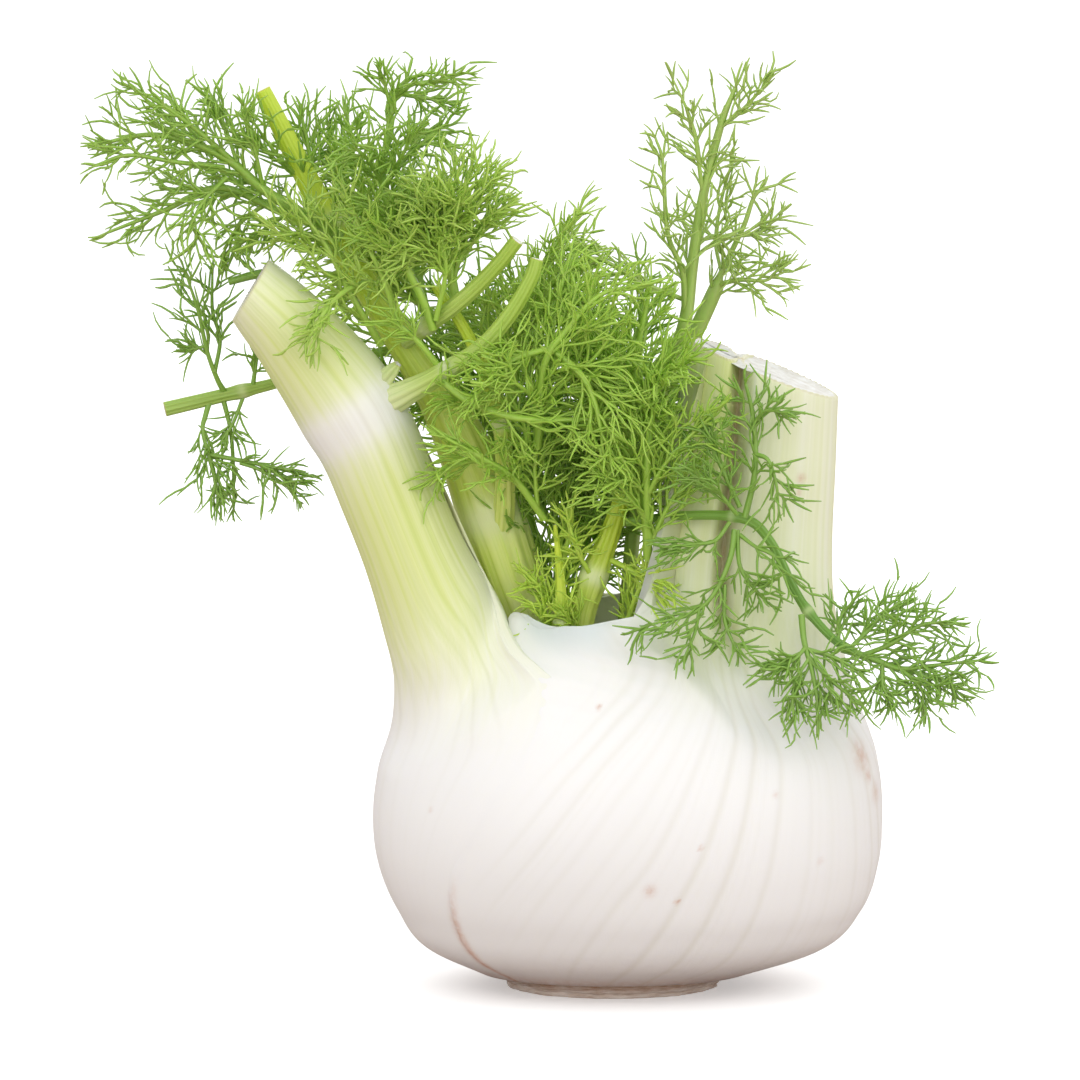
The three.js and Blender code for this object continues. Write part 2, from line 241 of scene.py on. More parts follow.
class NodeDesk:
    # places nodes in one tree and joins them up
    def __init__(self, tree):
        self.tree = tree

    def add(self, kind, settings=None, **inputs):
        node = self.tree.nodes.new(kind)
        for key, value in (settings or {}).items():
            setattr(node, key, value)
        for key, value in inputs.items():
            self.feed(node, key.replace("_", " "), value)
        return node

    def join(self, socket, value):
        # a socket takes a link or a plain value
        if isinstance(value, bpy.types.NodeSocket):
            self.tree.links.new(value, socket)
        else:
            socket.default_value = value

    def feed(self, node, key, value):
        self.join(node.inputs[key], value)

    def math(self, operation, a, b, clampIt=False):
        node = self.tree.nodes.new("ShaderNodeMath")
        node.operation = operation
        node.use_clamp = clampIt
        for socket, value in zip(node.inputs, (a, b)):
            self.join(socket, value)
        return node.outputs[0]

    def mix(self, share, a, b):
        # sockets 0, 6 and 7 are the share and the two colours, and output 2 is the mixed colour
        node = self.tree.nodes.new("ShaderNodeMix")
        node.data_type = "RGBA"
        for socket, value in zip((node.inputs[0], node.inputs[6], node.inputs[7]), (share, a, b)):
            self.join(socket, value)
        return node.outputs[2]

    def ramp(self, share, stops):
        # stops of (where, colour or grey)
        node = self.tree.nodes.new("ShaderNodeValToRGB")
        elements = node.color_ramp.elements
        while len(elements) < len(stops):
            elements.new(0.5)
        for element, (at, colour) in zip(elements, stops):
            element.position = at
            element.color = colour if hasattr(colour, "__len__") else (colour, colour, colour, 1)
        self.tree.links.new(share, node.inputs[0])
        return node.outputs[0]

    def stretch(self, vector, scale):
        node = self.add("ShaderNodeVectorMath", {"operation": "MULTIPLY"})
        self.tree.links.new(vector, node.inputs[0])
        node.inputs[1].default_value = scale
        return node.outputs[0]

    def noise(self, vector, scale, detail=2.0, roughness=0.5):
        node = self.add("ShaderNodeTexNoise")
        self.tree.links.new(vector, node.inputs["Vector"])
        node.inputs["Scale"].default_value = scale
        node.inputs["Detail"].default_value = detail
        node.inputs["Roughness"].default_value = roughness
        return node.outputs[0]

    def attribute(self, name):
        return self.add("ShaderNodeAttribute", {"attribute_name": name}).outputs["Fac"]

    def objectPlace(self):
        return self.add("ShaderNodeTexCoord").outputs["Object"]

    def surfacePlace(self):
        return self.add("ShaderNodeUVMap", {"uv_map": "surface"}).outputs[0]

    def bumpFrom(self, height, strength, distance):
        node = self.add("ShaderNodeBump")
        node.inputs["Strength"].default_value = strength
        node.inputs["Distance"].default_value = distance
        self.tree.links.new(height, node.inputs["Height"])
        return node.outputs[0]


def newGroup(name, inputs, outputs):
    tree = bpy.data.node_groups.new(name, "ShaderNodeTree")
    for socketName, kind in inputs:
        tree.interface.new_socket(name=socketName, in_out="INPUT", socket_type="NodeSocket" + kind)
    for socketName, kind in outputs:
        tree.interface.new_socket(name=socketName, in_out="OUTPUT", socket_type="NodeSocket" + kind)
    return tree, NodeDesk(tree), tree.nodes.new("NodeGroupInput"), tree.nodes.new("NodeGroupOutput")


def useGroup(desk, tree, **inputs):
    node = desk.tree.nodes.new("ShaderNodeGroup")
    node.node_tree = tree
    for key, value in inputs.items():
        desk.feed(node, key, value)
    return node


def setSoftness(shader, weight, radius, scale):
    # how far light passes through the tissue
    shader.inputs["Subsurface Weight"].default_value = weight
    shader.inputs["Subsurface Radius"].default_value = radius
    shader.inputs["Subsurface Scale"].default_value = scale


def newMaterial(name):
    material = bpy.data.materials.new(name)
    material.use_nodes = True
    desk = NodeDesk(material.node_tree)
    return material, desk, material.node_tree.nodes["Principled BSDF"]


def makeFibreGroup():
    # long streaks along the surface: broad bands, fine fibres and short breaks between them
    tree, desk, start, end = newGroup(
        "fibreStreaks",
        [("Place", "Vector"), ("Fibres", "Float")],
        [("Bands", "Float"), ("Fibres", "Float")],
    )
    fibres = desk.add("ShaderNodeCombineXYZ")
    tree.links.new(start.outputs["Fibres"], fibres.inputs[0])
    fibres.inputs[1].default_value = 2.2
    stretched = desk.add("ShaderNodeVectorMath", {"operation": "MULTIPLY"})
    tree.links.new(start.outputs["Place"], stretched.inputs[0])
    tree.links.new(fibres.outputs[0], stretched.inputs[1])
    tree.links.new(desk.noise(stretched.outputs[0], 1.0, 3.0, 0.65), end.inputs["Fibres"])
    tree.links.new(desk.noise(stretched.outputs[0], 0.22, 2.0, 0.55), end.inputs["Bands"])
    return tree


def makeCutGroup():
    # the wet cells of a cut face: a colour tint and a height
    tree, desk, start, end = newGroup(
        "cutCells",
        [("Place", "Vector")],
        [("Tint", "Float"), ("Height", "Float")],
    )
    spot = start.outputs["Place"]
    cells = desk.add("ShaderNodeTexVoronoi", {"feature": "F1"}, Vector=spot, Scale=900)
    grain = desk.noise(spot, 420, 4.0, 0.6)
    rise = desk.math("ADD", desk.math("MULTIPLY", cells.outputs[0], 0.6), grain)
    tree.links.new(rise, end.inputs["Height"])
    tree.links.new(grain, end.inputs["Tint"])
    return tree


fibreStreaks = makeFibreGroup()
cutCells = makeCutGroup()

skinColours = {
    "green": [
        (0.0, srgb(244, 244, 243)),
        (0.12, srgb(243, 244, 232)),
        (0.3, srgb(234, 238, 198)),
        (0.5, srgb(223, 231, 158)),
        (0.72, srgb(203, 219, 118)),
        (1.0, srgb(160, 190, 72)),
    ],
    "veinPale": srgb(222, 219, 206),
    "veinGreen": srgb(198, 214, 112),
    # painted shade: a blue-grey tint on the thin lip's crest, for shade and light coming through the
    # thin tissue
    "sheer": srgb(206, 219, 220),
    "stain": srgb(196, 132, 84),
    "flesh": srgb(236, 236, 234),
    "fleshShade": srgb(214, 210, 200),
    "rim": srgb(204, 196, 160),
}


def makeSkin():
    # the leaf bases: white below, green up the stalks, painted by the marks on the mesh
    material, desk, shader = newMaterial("sheathSkin")
    surface = desk.surfacePlace()
    streaks = useGroup(desk, fibreStreaks, Place=surface, Fibres=260.0)
    cells = useGroup(desk, cutCells, Place=desk.objectPlace())
    green = desk.attribute("green")
    flesh = desk.attribute("flesh")
    bands = desk.math("SUBTRACT", streaks.outputs["Bands"], 0.5)
    fibres = desk.math("SUBTRACT", streaks.outputs["Fibres"], 0.5)
    swing = desk.math("ADD", desk.math("MULTIPLY", bands, 0.9), desk.math("MULTIPLY", fibres, 0.5))
    swing = desk.math("MULTIPLY", swing, desk.math("ADD", green, 0.04))
    colour = desk.ramp(desk.math("ADD", green, swing, True), skinColours["green"])
    upTheStalk = desk.ramp(green, [(0.06, 0.0), (0.35, 1.0)])
    veinColour = desk.mix(upTheStalk, skinColours["veinPale"], skinColours["veinGreen"])
    colour = desk.mix(desk.math("MULTIPLY", desk.attribute("vein"), 0.42), colour, veinColour)
    # painted shade: tints the thin lip's crest blue-grey, for shade and light through the tissue
    colour = desk.mix(desk.attribute("sheer"), colour, skinColours["sheer"])
    mottle = desk.noise(desk.objectPlace(), 700, 3.0, 0.6)
    mottle = desk.ramp(mottle, [(0.3, 0.45), (0.62, 1.0)])
    stain = desk.math("MULTIPLY", desk.attribute("stain"), mottle)
    colour = desk.mix(stain, colour, skinColours["stain"])
    cellShade = desk.ramp(cells.outputs["Tint"], [(0.35, 0.0), (0.7, 1.0)])
    fleshColour = desk.mix(cellShade, skinColours["flesh"], skinColours["fleshShade"])
    colour = desk.mix(flesh, colour, fleshColour)
    colour = desk.mix(desk.attribute("rim"), colour, skinColours["rim"])
    desk.feed(shader, "Base Color", colour)
    shine = desk.math("ADD", 0.36, desk.math("MULTIPLY", fibres, 0.25))
    shine = desk.math("ADD", shine, desk.math("MULTIPLY", flesh, 0.25), True)
    desk.feed(shader, "Roughness", shine)
    cellHeight = desk.math("MULTIPLY", desk.math("MULTIPLY", cells.outputs["Height"], flesh), 1.6)
    height = desk.math("ADD", desk.math("MULTIPLY", fibres, 0.3), cellHeight)
    desk.feed(shader, "Normal", desk.bumpFrom(height, 0.35, 0.00035))
    setSoftness(shader, 0.1, (1.0, 0.95, 0.7), 0.0015)
    shader.inputs["Specular IOR Level"].default_value = 0.4
    return material


def makeStemSkin(name, low, high, streak, node):
    # a young stalk: its colour runs along it, with ribs, pale nodes and a cut end
    material, desk, shader = newMaterial(name)
    surface = desk.surfacePlace()
    streaks = useGroup(desk, fibreStreaks, Place=surface, Fibres=46.0)
    green = desk.attribute("green")
    swing = desk.math("MULTIPLY", desk.math("SUBTRACT", streaks.outputs["Bands"], 0.5), 0.5)
    share = desk.math("ADD", green, swing, True)
    colour = desk.mix(share, low, high)
    lines = desk.ramp(streaks.outputs["Fibres"], [(0.48, 0.0), (0.68, 0.6)])
    colour = desk.mix(lines, colour, streak)
    colour = desk.mix(desk.attribute("vein"), colour, node)
    cells = useGroup(desk, cutCells, Place=desk.objectPlace())
    colour = desk.mix(desk.attribute("flesh"), colour, skinColours["flesh"])
    colour = desk.mix(desk.attribute("stain"), colour, skinColours["stain"])
    desk.feed(shader, "Base Color", colour)
    cellHeight = desk.math("MULTIPLY", cells.outputs["Height"], desk.attribute("flesh"))
    height = desk.math("ADD", streaks.outputs["Fibres"], cellHeight)
    desk.feed(shader, "Normal", desk.bumpFrom(height, 0.4, 0.0002))
    desk.feed(shader, "Roughness", desk.ramp(streaks.outputs["Fibres"], [(0.3, 0.34), (0.8, 0.5)]))
    setSoftness(shader, 0.2, (0.8, 1.0, 0.3), 0.0015)
    return material


# dark, middle and light threads, and the stems
frondLooks = {
    "deep": (srgb(34, 66, 8), srgb(90, 134, 34), srgb(154, 190, 84), srgb(146, 186, 70)),
    "mid": (srgb(46, 88, 14), srgb(104, 152, 42), srgb(166, 204, 84), srgb(168, 206, 78)),
    "airy": (srgb(62, 104, 24), srgb(118, 162, 56), srgb(178, 210, 100), srgb(176, 210, 90)),
    "bright": (srgb(56, 122, 8), srgb(124, 184, 30), srgb(192, 228, 96), srgb(196, 226, 84)),
    "plain": (srgb(36, 70, 12), srgb(84, 124, 36), srgb(138, 176, 80), srgb(134, 176, 70)),
    "sparse": (srgb(64, 96, 28), srgb(112, 144, 58), srgb(168, 190, 104), srgb(164, 198, 92)),
}
tipColours = {"sparse": srgb(158, 112, 74)}


def makeFrondMaterials(look):
    dark, middle, light, stem = frondLooks[look]
    leafMaterial, desk, shader = newMaterial(look + "Threads")
    spot = desk.objectPlace()
    island = desk.add("ShaderNodeNewGeometry").outputs["Random Per Island"]
    patch = desk.noise(spot, 60, 2.0, 0.5)
    depth = desk.add("ShaderNodeSeparateXYZ", Vector=spot).outputs[1]
    patchShare = desk.math("MULTIPLY", desk.math("SUBTRACT", patch, 0.36), 0.7)
    share = desk.math("ADD", desk.math("MULTIPLY", island, 0.7), patchShare)
    # painted shade: threads are coloured darker the further back they stand
    backShade = desk.math("MULTIPLY", depth, -9.0)  # towards the back
    share = desk.math("ADD", share, backShade, True)
    colour = desk.ramp(share, [(0.08, dark), (0.5, middle), (0.92, light)])
    if look in tipColours:
        rusty = desk.ramp(desk.noise(spot, 130, 3.0, 0.6), [(0.5, 0.0), (0.66, 0.75)])
        colour = desk.mix(rusty, colour, tipColours[look])
    desk.feed(shader, "Base Color", colour)
    desk.feed(shader, "Roughness", desk.ramp(patch, [(0.2, 0.42), (0.8, 0.62)]))
    desk.feed(shader, "Normal", desk.bumpFrom(desk.noise(spot, 2600, 2.0, 0.5), 0.3, 0.0001))
    setSoftness(shader, 0.1, (0.5, 1.0, 0.2), 0.0006)
    shader.inputs["Specular IOR Level"].default_value = 0.3

    stemMaterial, desk, shader = newMaterial(look + "Stems")
    spot = desk.objectPlace()
    streak = desk.noise(desk.stretch(spot, (1, 1, 0.12)), 1500, 3.0, 0.6)
    colour = desk.mix(desk.ramp(streak, [(0.35, 0.0), (0.7, 1.0)]), stem, light)
    desk.feed(shader, "Base Color", colour)
    desk.feed(shader, "Roughness", desk.ramp(streak, [(0.2, 0.36), (0.8, 0.52)]))
    desk.feed(shader, "Normal", desk.bumpFrom(streak, 0.35, 0.00015))
    setSoftness(shader, 0.2, (0.6, 1.0, 0.3), 0.0012)
    return [stemMaterial, leafMaterial]


def makeRootBark():
    material, desk, shader = newMaterial("rootBark")
    spot = desk.objectPlace()
    layers = desk.noise(desk.stretch(spot, (1, 1, 9)), 260, 4.0, 0.65)
    pits = desk.add("ShaderNodeTexVoronoi", {"feature": "F1"}, Vector=spot, Scale=620)
    colour = desk.ramp(layers, [
        (0.3, srgb(184, 156, 136)),
        (0.48, srgb(214, 196, 182)),
        (0.66, srgb(230, 218, 208)),
    ])
    colour = desk.mix(desk.math("MULTIPLY", desk.attribute("stain"), 0.8), colour, srgb(176, 126, 84))
    desk.feed(shader, "Base Color", colour)
    desk.feed(shader, "Roughness", desk.ramp(layers, [(0.2, 0.6), (0.8, 0.9)]))
    height = desk.math("ADD", layers, desk.math("MULTIPLY", pits.outputs[0], 0.5))
    desk.feed(shader, "Normal", desk.bumpFrom(height, 0.7, 0.0004))
    return material


def makeFloorMaterial(settings):
    # white to the camera, a warmer pale grey in the light that it sends back up
    material, desk, shader = newMaterial("paleFloor")
    seen = desk.add("ShaderNodeLightPath").outputs["Is Camera Ray"]
    grain = desk.noise(desk.objectPlace(), 90, 3.0, 0.5)
    white = desk.ramp(grain, [(0.3, srgb(*settings["low"])), (0.7, srgb(*settings["high"]))])
    desk.feed(shader, "Base Color", desk.mix(seen, srgb(*settings["bounce"]), white))
    shader.inputs["Roughness"].default_value = 0.9
    shader.inputs["Emission Color"].default_value = (1, 1, 1, 1)
    desk.feed(shader, "Emission Strength", desk.math("MULTIPLY", seen, settings["glow"]))
    return material


# colours from 0 to 255: foot, tip, streaks and nodes
stemColours = {
    "throat": ("throatStalkSkin", (240, 245, 172), (204, 226, 66), (186, 214, 48), (238, 243, 206)),
    "branch": ("cutBranchSkin", (210, 224, 140), (172, 202, 82), (154, 188, 66), (222, 228, 192)),
    "twig": ("twigSkin", (150, 184, 76), (166, 196, 96), (126, 164, 56), (206, 220, 160)),
    "hanging": ("hangingStemSkin", (150, 190, 84), (112, 158, 58), (96, 140, 44), (196, 214, 150)),
}

skin = makeSkin()
stemSkins = {
    stem: makeStemSkin(name, *(srgb(*colour) for colour in colours))
    for stem, (name, *colours) in stemColours.items()
}
frondMaterials = {look: makeFrondMaterials(look) for look in frondLooks}
rootBark = makeRootBark()
makeCamera(cameraSettings)
makeLights(lightSettings)
makeFloor(floorSettings, makeFloorMaterial(floorSettings))
print("materials, camera and light ready")


ovalPower = 0.93  # below 1 the oval is a little squarer

# outlines from the root up, each row starting with its height
# the bulb: left and right x, half depth
bulbTable = smoothTable([
    (3.3, -27, 28, 19),
    (8.5, -37.6, 43, 28),
    (16, -43.2, 50.4, 33.4),
    (25, -46.9, 53.6, 36.2),
    (34, -48, 54.4, 37),
    (44, -47, 53.8, 35.8),
    (54, -44.6, 51.4, 32.6),
    (62, -43.4, 48.6, 28.6),
    (70, -43, 46, 24.6),
    (78, -43, 45, 20.5),
])
# the seam up the front: x
seamTable = smoothTable([
    (3.3, -19), (9, -26.4), (14, -29.8), (20, -31.5), (25, -31.5), (33, -29), (42, -24),
    (50, -18.6), (58, -14.8), (65, -13.6), (68.6, -14.6), (70.2, -17.2), (73.4, -20.2),
    (76.6, -21.6), (79, -22.6),
])
# the left stalk: x, y, half width, half depth, lean in degrees
leftStalkTable = smoothTable([
    (46, -27, -3, 16, 19, 0),
    (58, -29.5, -4, 14.2, 16, 5),
    (67, -31, -5, 13, 14, 10),
    (76, -34.2, -5.5, 11.9, 12, 17),
    (89, -39.6, -6, 10.3, 10.5, 23),
    (101, -44.4, -6, 10.1, 10, 24),
    (112, -49, -6, 10.2, 10, 28),
    (119, -53, -6, 10.5, 10.3, 33),
    (127, -58.8, -6, 9.6, 9.4, 38),
    (135, -65.4, -6, 8.2, 8.6, 41),
    (141, -71.4, -6, 7.2, 8, 59),
])
# the right pair: left and right x, y, half depth, depth of the groove, its place from -1 to 1
rightPairTable = smoothTable([
    (48, 0, 49, -3, 24, 0, -0.05),
    (64, 3, 47.4, -2.5, 19, 0, -0.06),
    (72, 5, 45.6, -2, 16, 0.42, -0.12),
    (80, 7, 44.3, -2, 13.4, 0.8, -0.2),
    (90, 8.6, 44, -2, 12, 0.93, -0.22),
    (108, 12.4, 44.6, -2, 11, 0.96, -0.25),
    (122, 15, 45, -2, 10.4, 0.96, -0.29),
])
# the throat between the leaf bases: half width, half depth
throatTable = smoothTable([
    (46, 1, 1.5), (50, 2.5, 3.5), (54, 6, 9), (58, 9, 13),
    (64, 11.4, 16.5), (72, 12.8, 18.6), (78, 13.6, 19.8), (84, 14, 20.4),
])
throatCentre = -6.5
# the slanted cut through the right pair, and the heights that it draws up or down to meet it
rightCut = {"x": 26, "y": -12, "z": 126, "slopeX": -0.39, "slopeY": 0.06, "from": 80, "top": 122}
pairSettings = {
    "grooveWidth": 0.085,  # as a share of the half width, like the two below
    "shoulder": 0.1,  # how much rounder each stalk is than the oval that holds the pair
    "shoulderWidth": 0.3,
    "backStep": 1.6,  # how far the left one of the pair stands back
}


def onBulb(degrees, height):
    left, right, halfDepth = bulbTable(height)
    angle = math.radians(degrees)
    across, back = math.cos(angle), math.sin(angle)
    across = math.copysign(abs(across) ** ovalPower, across)
    back = math.copysign(abs(back) ** ovalPower, back)
    return Vector(((left + right) / 2 + (right - left) / 2 * across, halfDepth * back, height))


def outward(point, height):
    # level direction out of the bulb's oval
    left, right, halfDepth = bulbTable(height)
    half = (right - left) / 2
    away = Vector(((point.x - (left + right) / 2) / half ** 2, point.y / halfDepth ** 2, 0))
    return away.normalized() if away.length > 1e-9 else Vector((0, -1, 0))


def frontAngle(x, height):
    # the angle round the front of the bulb that has this x
    left, right, _ = bulbTable(height)
    across = (x - (left + right) / 2) / ((right - left) / 2)
    across = math.copysign(abs(clamp(across, -1, 1)) ** (1 / ovalPower), across)
    return 360 - math.degrees(math.acos(across))


def seamAngle(height):
    # where the seam runs up the front, as an angle round the bulb
    return frontAngle(seamTable(height)[0], height)


def onLeftStalk(degrees, height):
    x, y, halfWidth, halfDepth, lean = leftStalkTable(height)
    angle, tilt = math.radians(degrees), math.radians(lean)
    across = halfWidth * math.cos(angle)
    return Vector((
        x + across * math.cos(tilt),
        y + halfDepth * math.sin(angle),
        height + across * math.sin(tilt),
    ))


def onRightPair(degrees, height):
    left, right, y, halfDepth, groove, grooveAt = rightPairTable(height)
    angle = math.radians(degrees)
    share = math.cos(angle)
    pinch = 1 - groove * bump(share, grooveAt, pairSettings["grooveWidth"])
    shoulder = bump(share, grooveAt, pairSettings["shoulderWidth"])
    shoulder = 1 - pairSettings["shoulder"] * ease(height, 70, 90) * shoulder
    across = (left + right) / 2 + (right - left) / 2 * share
    back = y + halfDepth * math.sin(angle) * pinch * shoulder
    if math.sin(angle) < 0:
        leftOne = ease(share, grooveAt + 0.04, grooveAt - 0.12)
        back += pairSettings["backStep"] * ease(height, 74, 96) * leftOne
    point = Vector((across, back, height))
    cut = rightCut["z"] + rightCut["slopeX"] * (point.x - rightCut["x"])
    cut += rightCut["slopeY"] * (point.y - rightCut["y"])
    above = max(0, (height - rightCut["from"]) / (rightCut["top"] - rightCut["from"]))
    point.z += above * (cut - rightCut["top"])
    return point


def towardsThroat(point, height, thickness):
    # the inner face: as far in from the outer one as the leaf is thick, but never past the throat
    rx, ry = throatTable(height)
    turn = math.atan2(point.y / ry, (point.x - throatCentre) / rx)
    edge = Vector((throatCentre + rx * math.cos(turn), ry * math.sin(turn), point.z))
    away = edge - point
    return point + away * min(1, thickness / max(away.length, 1e-6))


rightEdgeAngle = -119  # the right leaf's front edge, in degrees round the bulb
leftEdgeAngle = 255  # the left leaf's front edge
rightLeafSettings = {
    "name": "rightLeafBase",
    "node": "right_leaf_base",
    # turn, bulb angle, stalk angle, height where it leaves the bulb, height where it is all stalk, top
    "round": straightTable([
        (0, rightEdgeAngle, -178, 76, 84, 77),
        (0.02, -115.5, -174, 76, 84, 77),
        (0.04, -112, -170, 76, 84, 76.8),
        (0.08, -105, -162, 76, 84, 75.5),
        (0.13, -95, -150, 76, 84, 76),
        (16 / 95, -86, -140, 75, 83, 77.5),
        (17 / 95, -84, -137, 73, 82, 122),
        (0.22, -77, -128, 64, 80, 122),
        (0.27, -66, -115, 54, 77, 122),
        (0.33, -52, -99, 48, 76, 122),
        (0.39, -36, -80, 48, 76, 122),
        (0.5, 0, -10, 48, 76, 122),
        (0.62, 34, 60, 48, 76, 122),
        (0.7, 56, 99, 52, 77, 122),
        (0.76, 70, 116, 60, 79, 122),
        (78 / 95, 80, 132, 68, 82, 122),
        (79 / 95, 83, 136, 74, 83, 84),
        (0.88, 90, 144, 75, 84, 77),
        (1, 105, 178, 76, 84, 72),
    ]),
    "innerAngles": (-137, -228, 17 / 95, 78 / 95),
    "cutTop": rightCut["top"],
    "cutDirection": Vector((-rightCut["slopeX"], -rightCut["slopeY"], 1)).normalized(),
    "slit": False,
    "outerColumns": 380,
    "innerColumns": 95,
}
leftLeafSettings = {
    "name": "leftLeafBase",
    "node": "left_leaf_base",
    "round": straightTable([
        (0, 55, 20, 76, 84, 73),
        (0.1, 80, 26, 76, 84, 76),
        (0.22, 112, 36, 74, 83, 77),
        (25 / 95, 122, 42, 70, 82, 80),
        (26 / 95, 124, 45, 68, 81, 141),
        (0.31, 131, 58, 58, 76, 141),
        (0.4, 150, 100, 46, 70, 141),
        (0.55, 180, 180, 44, 69, 141),
        (0.68, 205, 240, 44, 71, 141),
        (0.8, 224, 292, 50, 77, 141),
        (0.87, 235, 318, 56, 80, 141),
        (0.93, 245, 338, 61, 82, 141),
        (92 / 95, 250, 352, 65, 83.5, 141),
        (93 / 95, 251, 354, 65, 83.5, 83),
        (1, leftEdgeAngle, 358, 66, 84, 82),
    ]),
    "innerAngles": (45, -8, 26 / 95, 92 / 95),
    "cutTop": 141,
    "cutDirection": Vector((-math.sin(math.radians(59)), 0, math.cos(math.radians(59)))),
    "slit": True,  # its front edge stands in front of the other leaf's lip
    "outerColumns": 380,
    "innerColumns": 95,
}
leafRows = {
    "bottom": 4,
    "wall": 186,
    "top": 12,
    "lowShare": 0.58,  # share of the wall's rows that lie below lowHeight
    "lowHeight": 70,
}
rootTop = 3.3
seamFit = {
    "overlap": 3.5,  # degrees that each leaf runs on past the seam
    "above": -0.3,  # the same for the left leaf once it has parted from the seam
    "partFrom": 65,
    "partTo": 69,
    "reach": 4,  # how far beside the seam a hidden part goes on sinking
    "edgeLift": 0.5,
    "recess": 9.5,  # how far the lip stands back beside the left stalk
    "backRecess": 1.7,  # how deep the right leaf lies under the left one at the back
}
veinSettings = {
    "rightMain": 13,  # degrees between veins
    "rightFine": 5.2,
    "leftMain": 4.6,  # hundredths of the turn between veins
    "leftFine": 1.9,
    "leftDrift": 15,  # how far the left leaf's veins fan out on their way down
    "bulbDepth": 0.15,
    "stalkDepth": 0.1,
}
leafThickness = {
    "lip": 0.5,
    "growth": 0.35,  # added for each millimetre below the lip
    "stalk": 60,  # more than any stalk, so that it reaches the throat
    "edge": 0.035,  # share of the turn over which the leaf thins to its edge
}
cutFace = {
    "rim": 0.42,  # radius of the rounded skin round a cut end
    "sink": 0.55,
    "roughness": 0.22,
    "beads": 0.14,  # height of the fibres' ends along the rim
}

# x, height, radius and strength of the marks on the front of the bulb and the right pair
blemishes = [
    (49.6, 49, 3.2, 0.5), (52.6, 41, 2.2, 0.35), (51, 45, 1.5, 0.5), (7.2, 25.9, 1.1, 0.5),
    (12.6, 23.6, 0.45, 1.0), (17.2, 34.4, 0.4, 0.8), (-2.8, 61.3, 0.45, 0.9),
    (37.6, 104.4, 0.9, 0.7), (37, 101.6, 0.6, 0.6),
    (32, 44, 0.6, 0.3), (41, 30, 0.7, 0.25), (-36, 40, 0.5, 0.25),
]
blemishSpots = [
    (onBulb(frontAngle(x, z), z) if z < 80 else Vector((x, -11.5, z)), radius, strength)
    for x, z, radius, strength in blemishes
]


def veinMark(lane, spacing, seed, width, perLane):
    # 1 on a vein's line and 0 away from it, with each line pushed a little off its even place
    nearest = 0.0
    first = math.floor(lane / spacing)
    for k in (first, first + 1):
        shift = 0.26 * math.sin(k * 12.9898 + seed) + 0.12 * math.sin(k * 4.1 + seed * 3)
        weight = 0.62 + 0.38 * math.sin(k * 7.3 + seed)
        away = (lane - (k + shift) * spacing) * perLane
        nearest = max(nearest, weight * bump(away, 0, width))
    return nearest


def rightVeins(theta, alpha, height, beside):
    squeeze = rightSqueeze(height)[0]
    upper = ease(height, 58, 80)
    lane = lerp(-40 + (theta + 40) / squeeze, -147 + 1.545 * (alpha + 134), upper)
    perLane = lerp(squeeze * 0.84, 0.16, upper)  # millimetres across one degree
    main = veinMark(lane, veinSettings["rightMain"], 1.7, lerp(0.8, 0.3, upper), perLane)
    fine = veinMark(lane, veinSettings["rightFine"], 4.1, lerp(0.35, 0.2, upper), perLane)
    strength = ease(-beside, 2, 20) * (1 - 0.5 * ease(height, 56, 70) * ease(theta, -60, -85))
    return strength * max(main * lerp(1, 0.7, upper), fine * lerp(0.22, 0.45, upper))


def leftVeins(t, height, beside):
    upper = ease(height, 50, 84)
    lane = t * 100 - veinSettings["leftDrift"] * (1 - upper) * ease(t, 0.4, 0.95)
    perLane = lerp(1.25, 0.42, upper)  # millimetres across one hundredth of the turn
    main = veinMark(lane, veinSettings["leftMain"], 2.9, lerp(0.6, 0.3, upper), perLane)
    fine = veinMark(lane, veinSettings["leftFine"], 6.3, 0.22, perLane)
    fade = lerp(0.3, 1, ease(height, 44, 62)) * lerp(1, 0.35, ease(t, 0.84, 0.93))
    return ease(beside, 0, 14) * fade * max(main, fine * lerp(0.15, 0.6, upper))


# height and how close the veins of the right leaf lie there
rightSqueeze = smoothTable([(3.3, 1), (15, 0.86), (32, 0.674), (49, 0.54), (65, 0.4), (76, 0.34)])
# height and how green each leaf is there
leftGreen = smoothTable([
    (3.3, 0), (48, 0), (56, 0.06), (66, 0.22), (80, 0.42), (95, 0.48), (104, 0.42),
    (109, 0.3), (114, 0.08), (118, 0.1), (122, 0.34), (128, 0.46), (135, 0.42), (141, 0.3),
])
rightGreen = smoothTable([
    (3.3, 0), (56, 0), (64, 0.1), (72, 0.24), (84, 0.26), (100, 0.26), (122, 0.25),
])


def underSeam(hidden, height):
    # how deep the hidden part of a leaf lies under its neighbour
    return lerp(0.8 * hidden, 0.08 * hidden * hidden, ease(height, 16, 30))


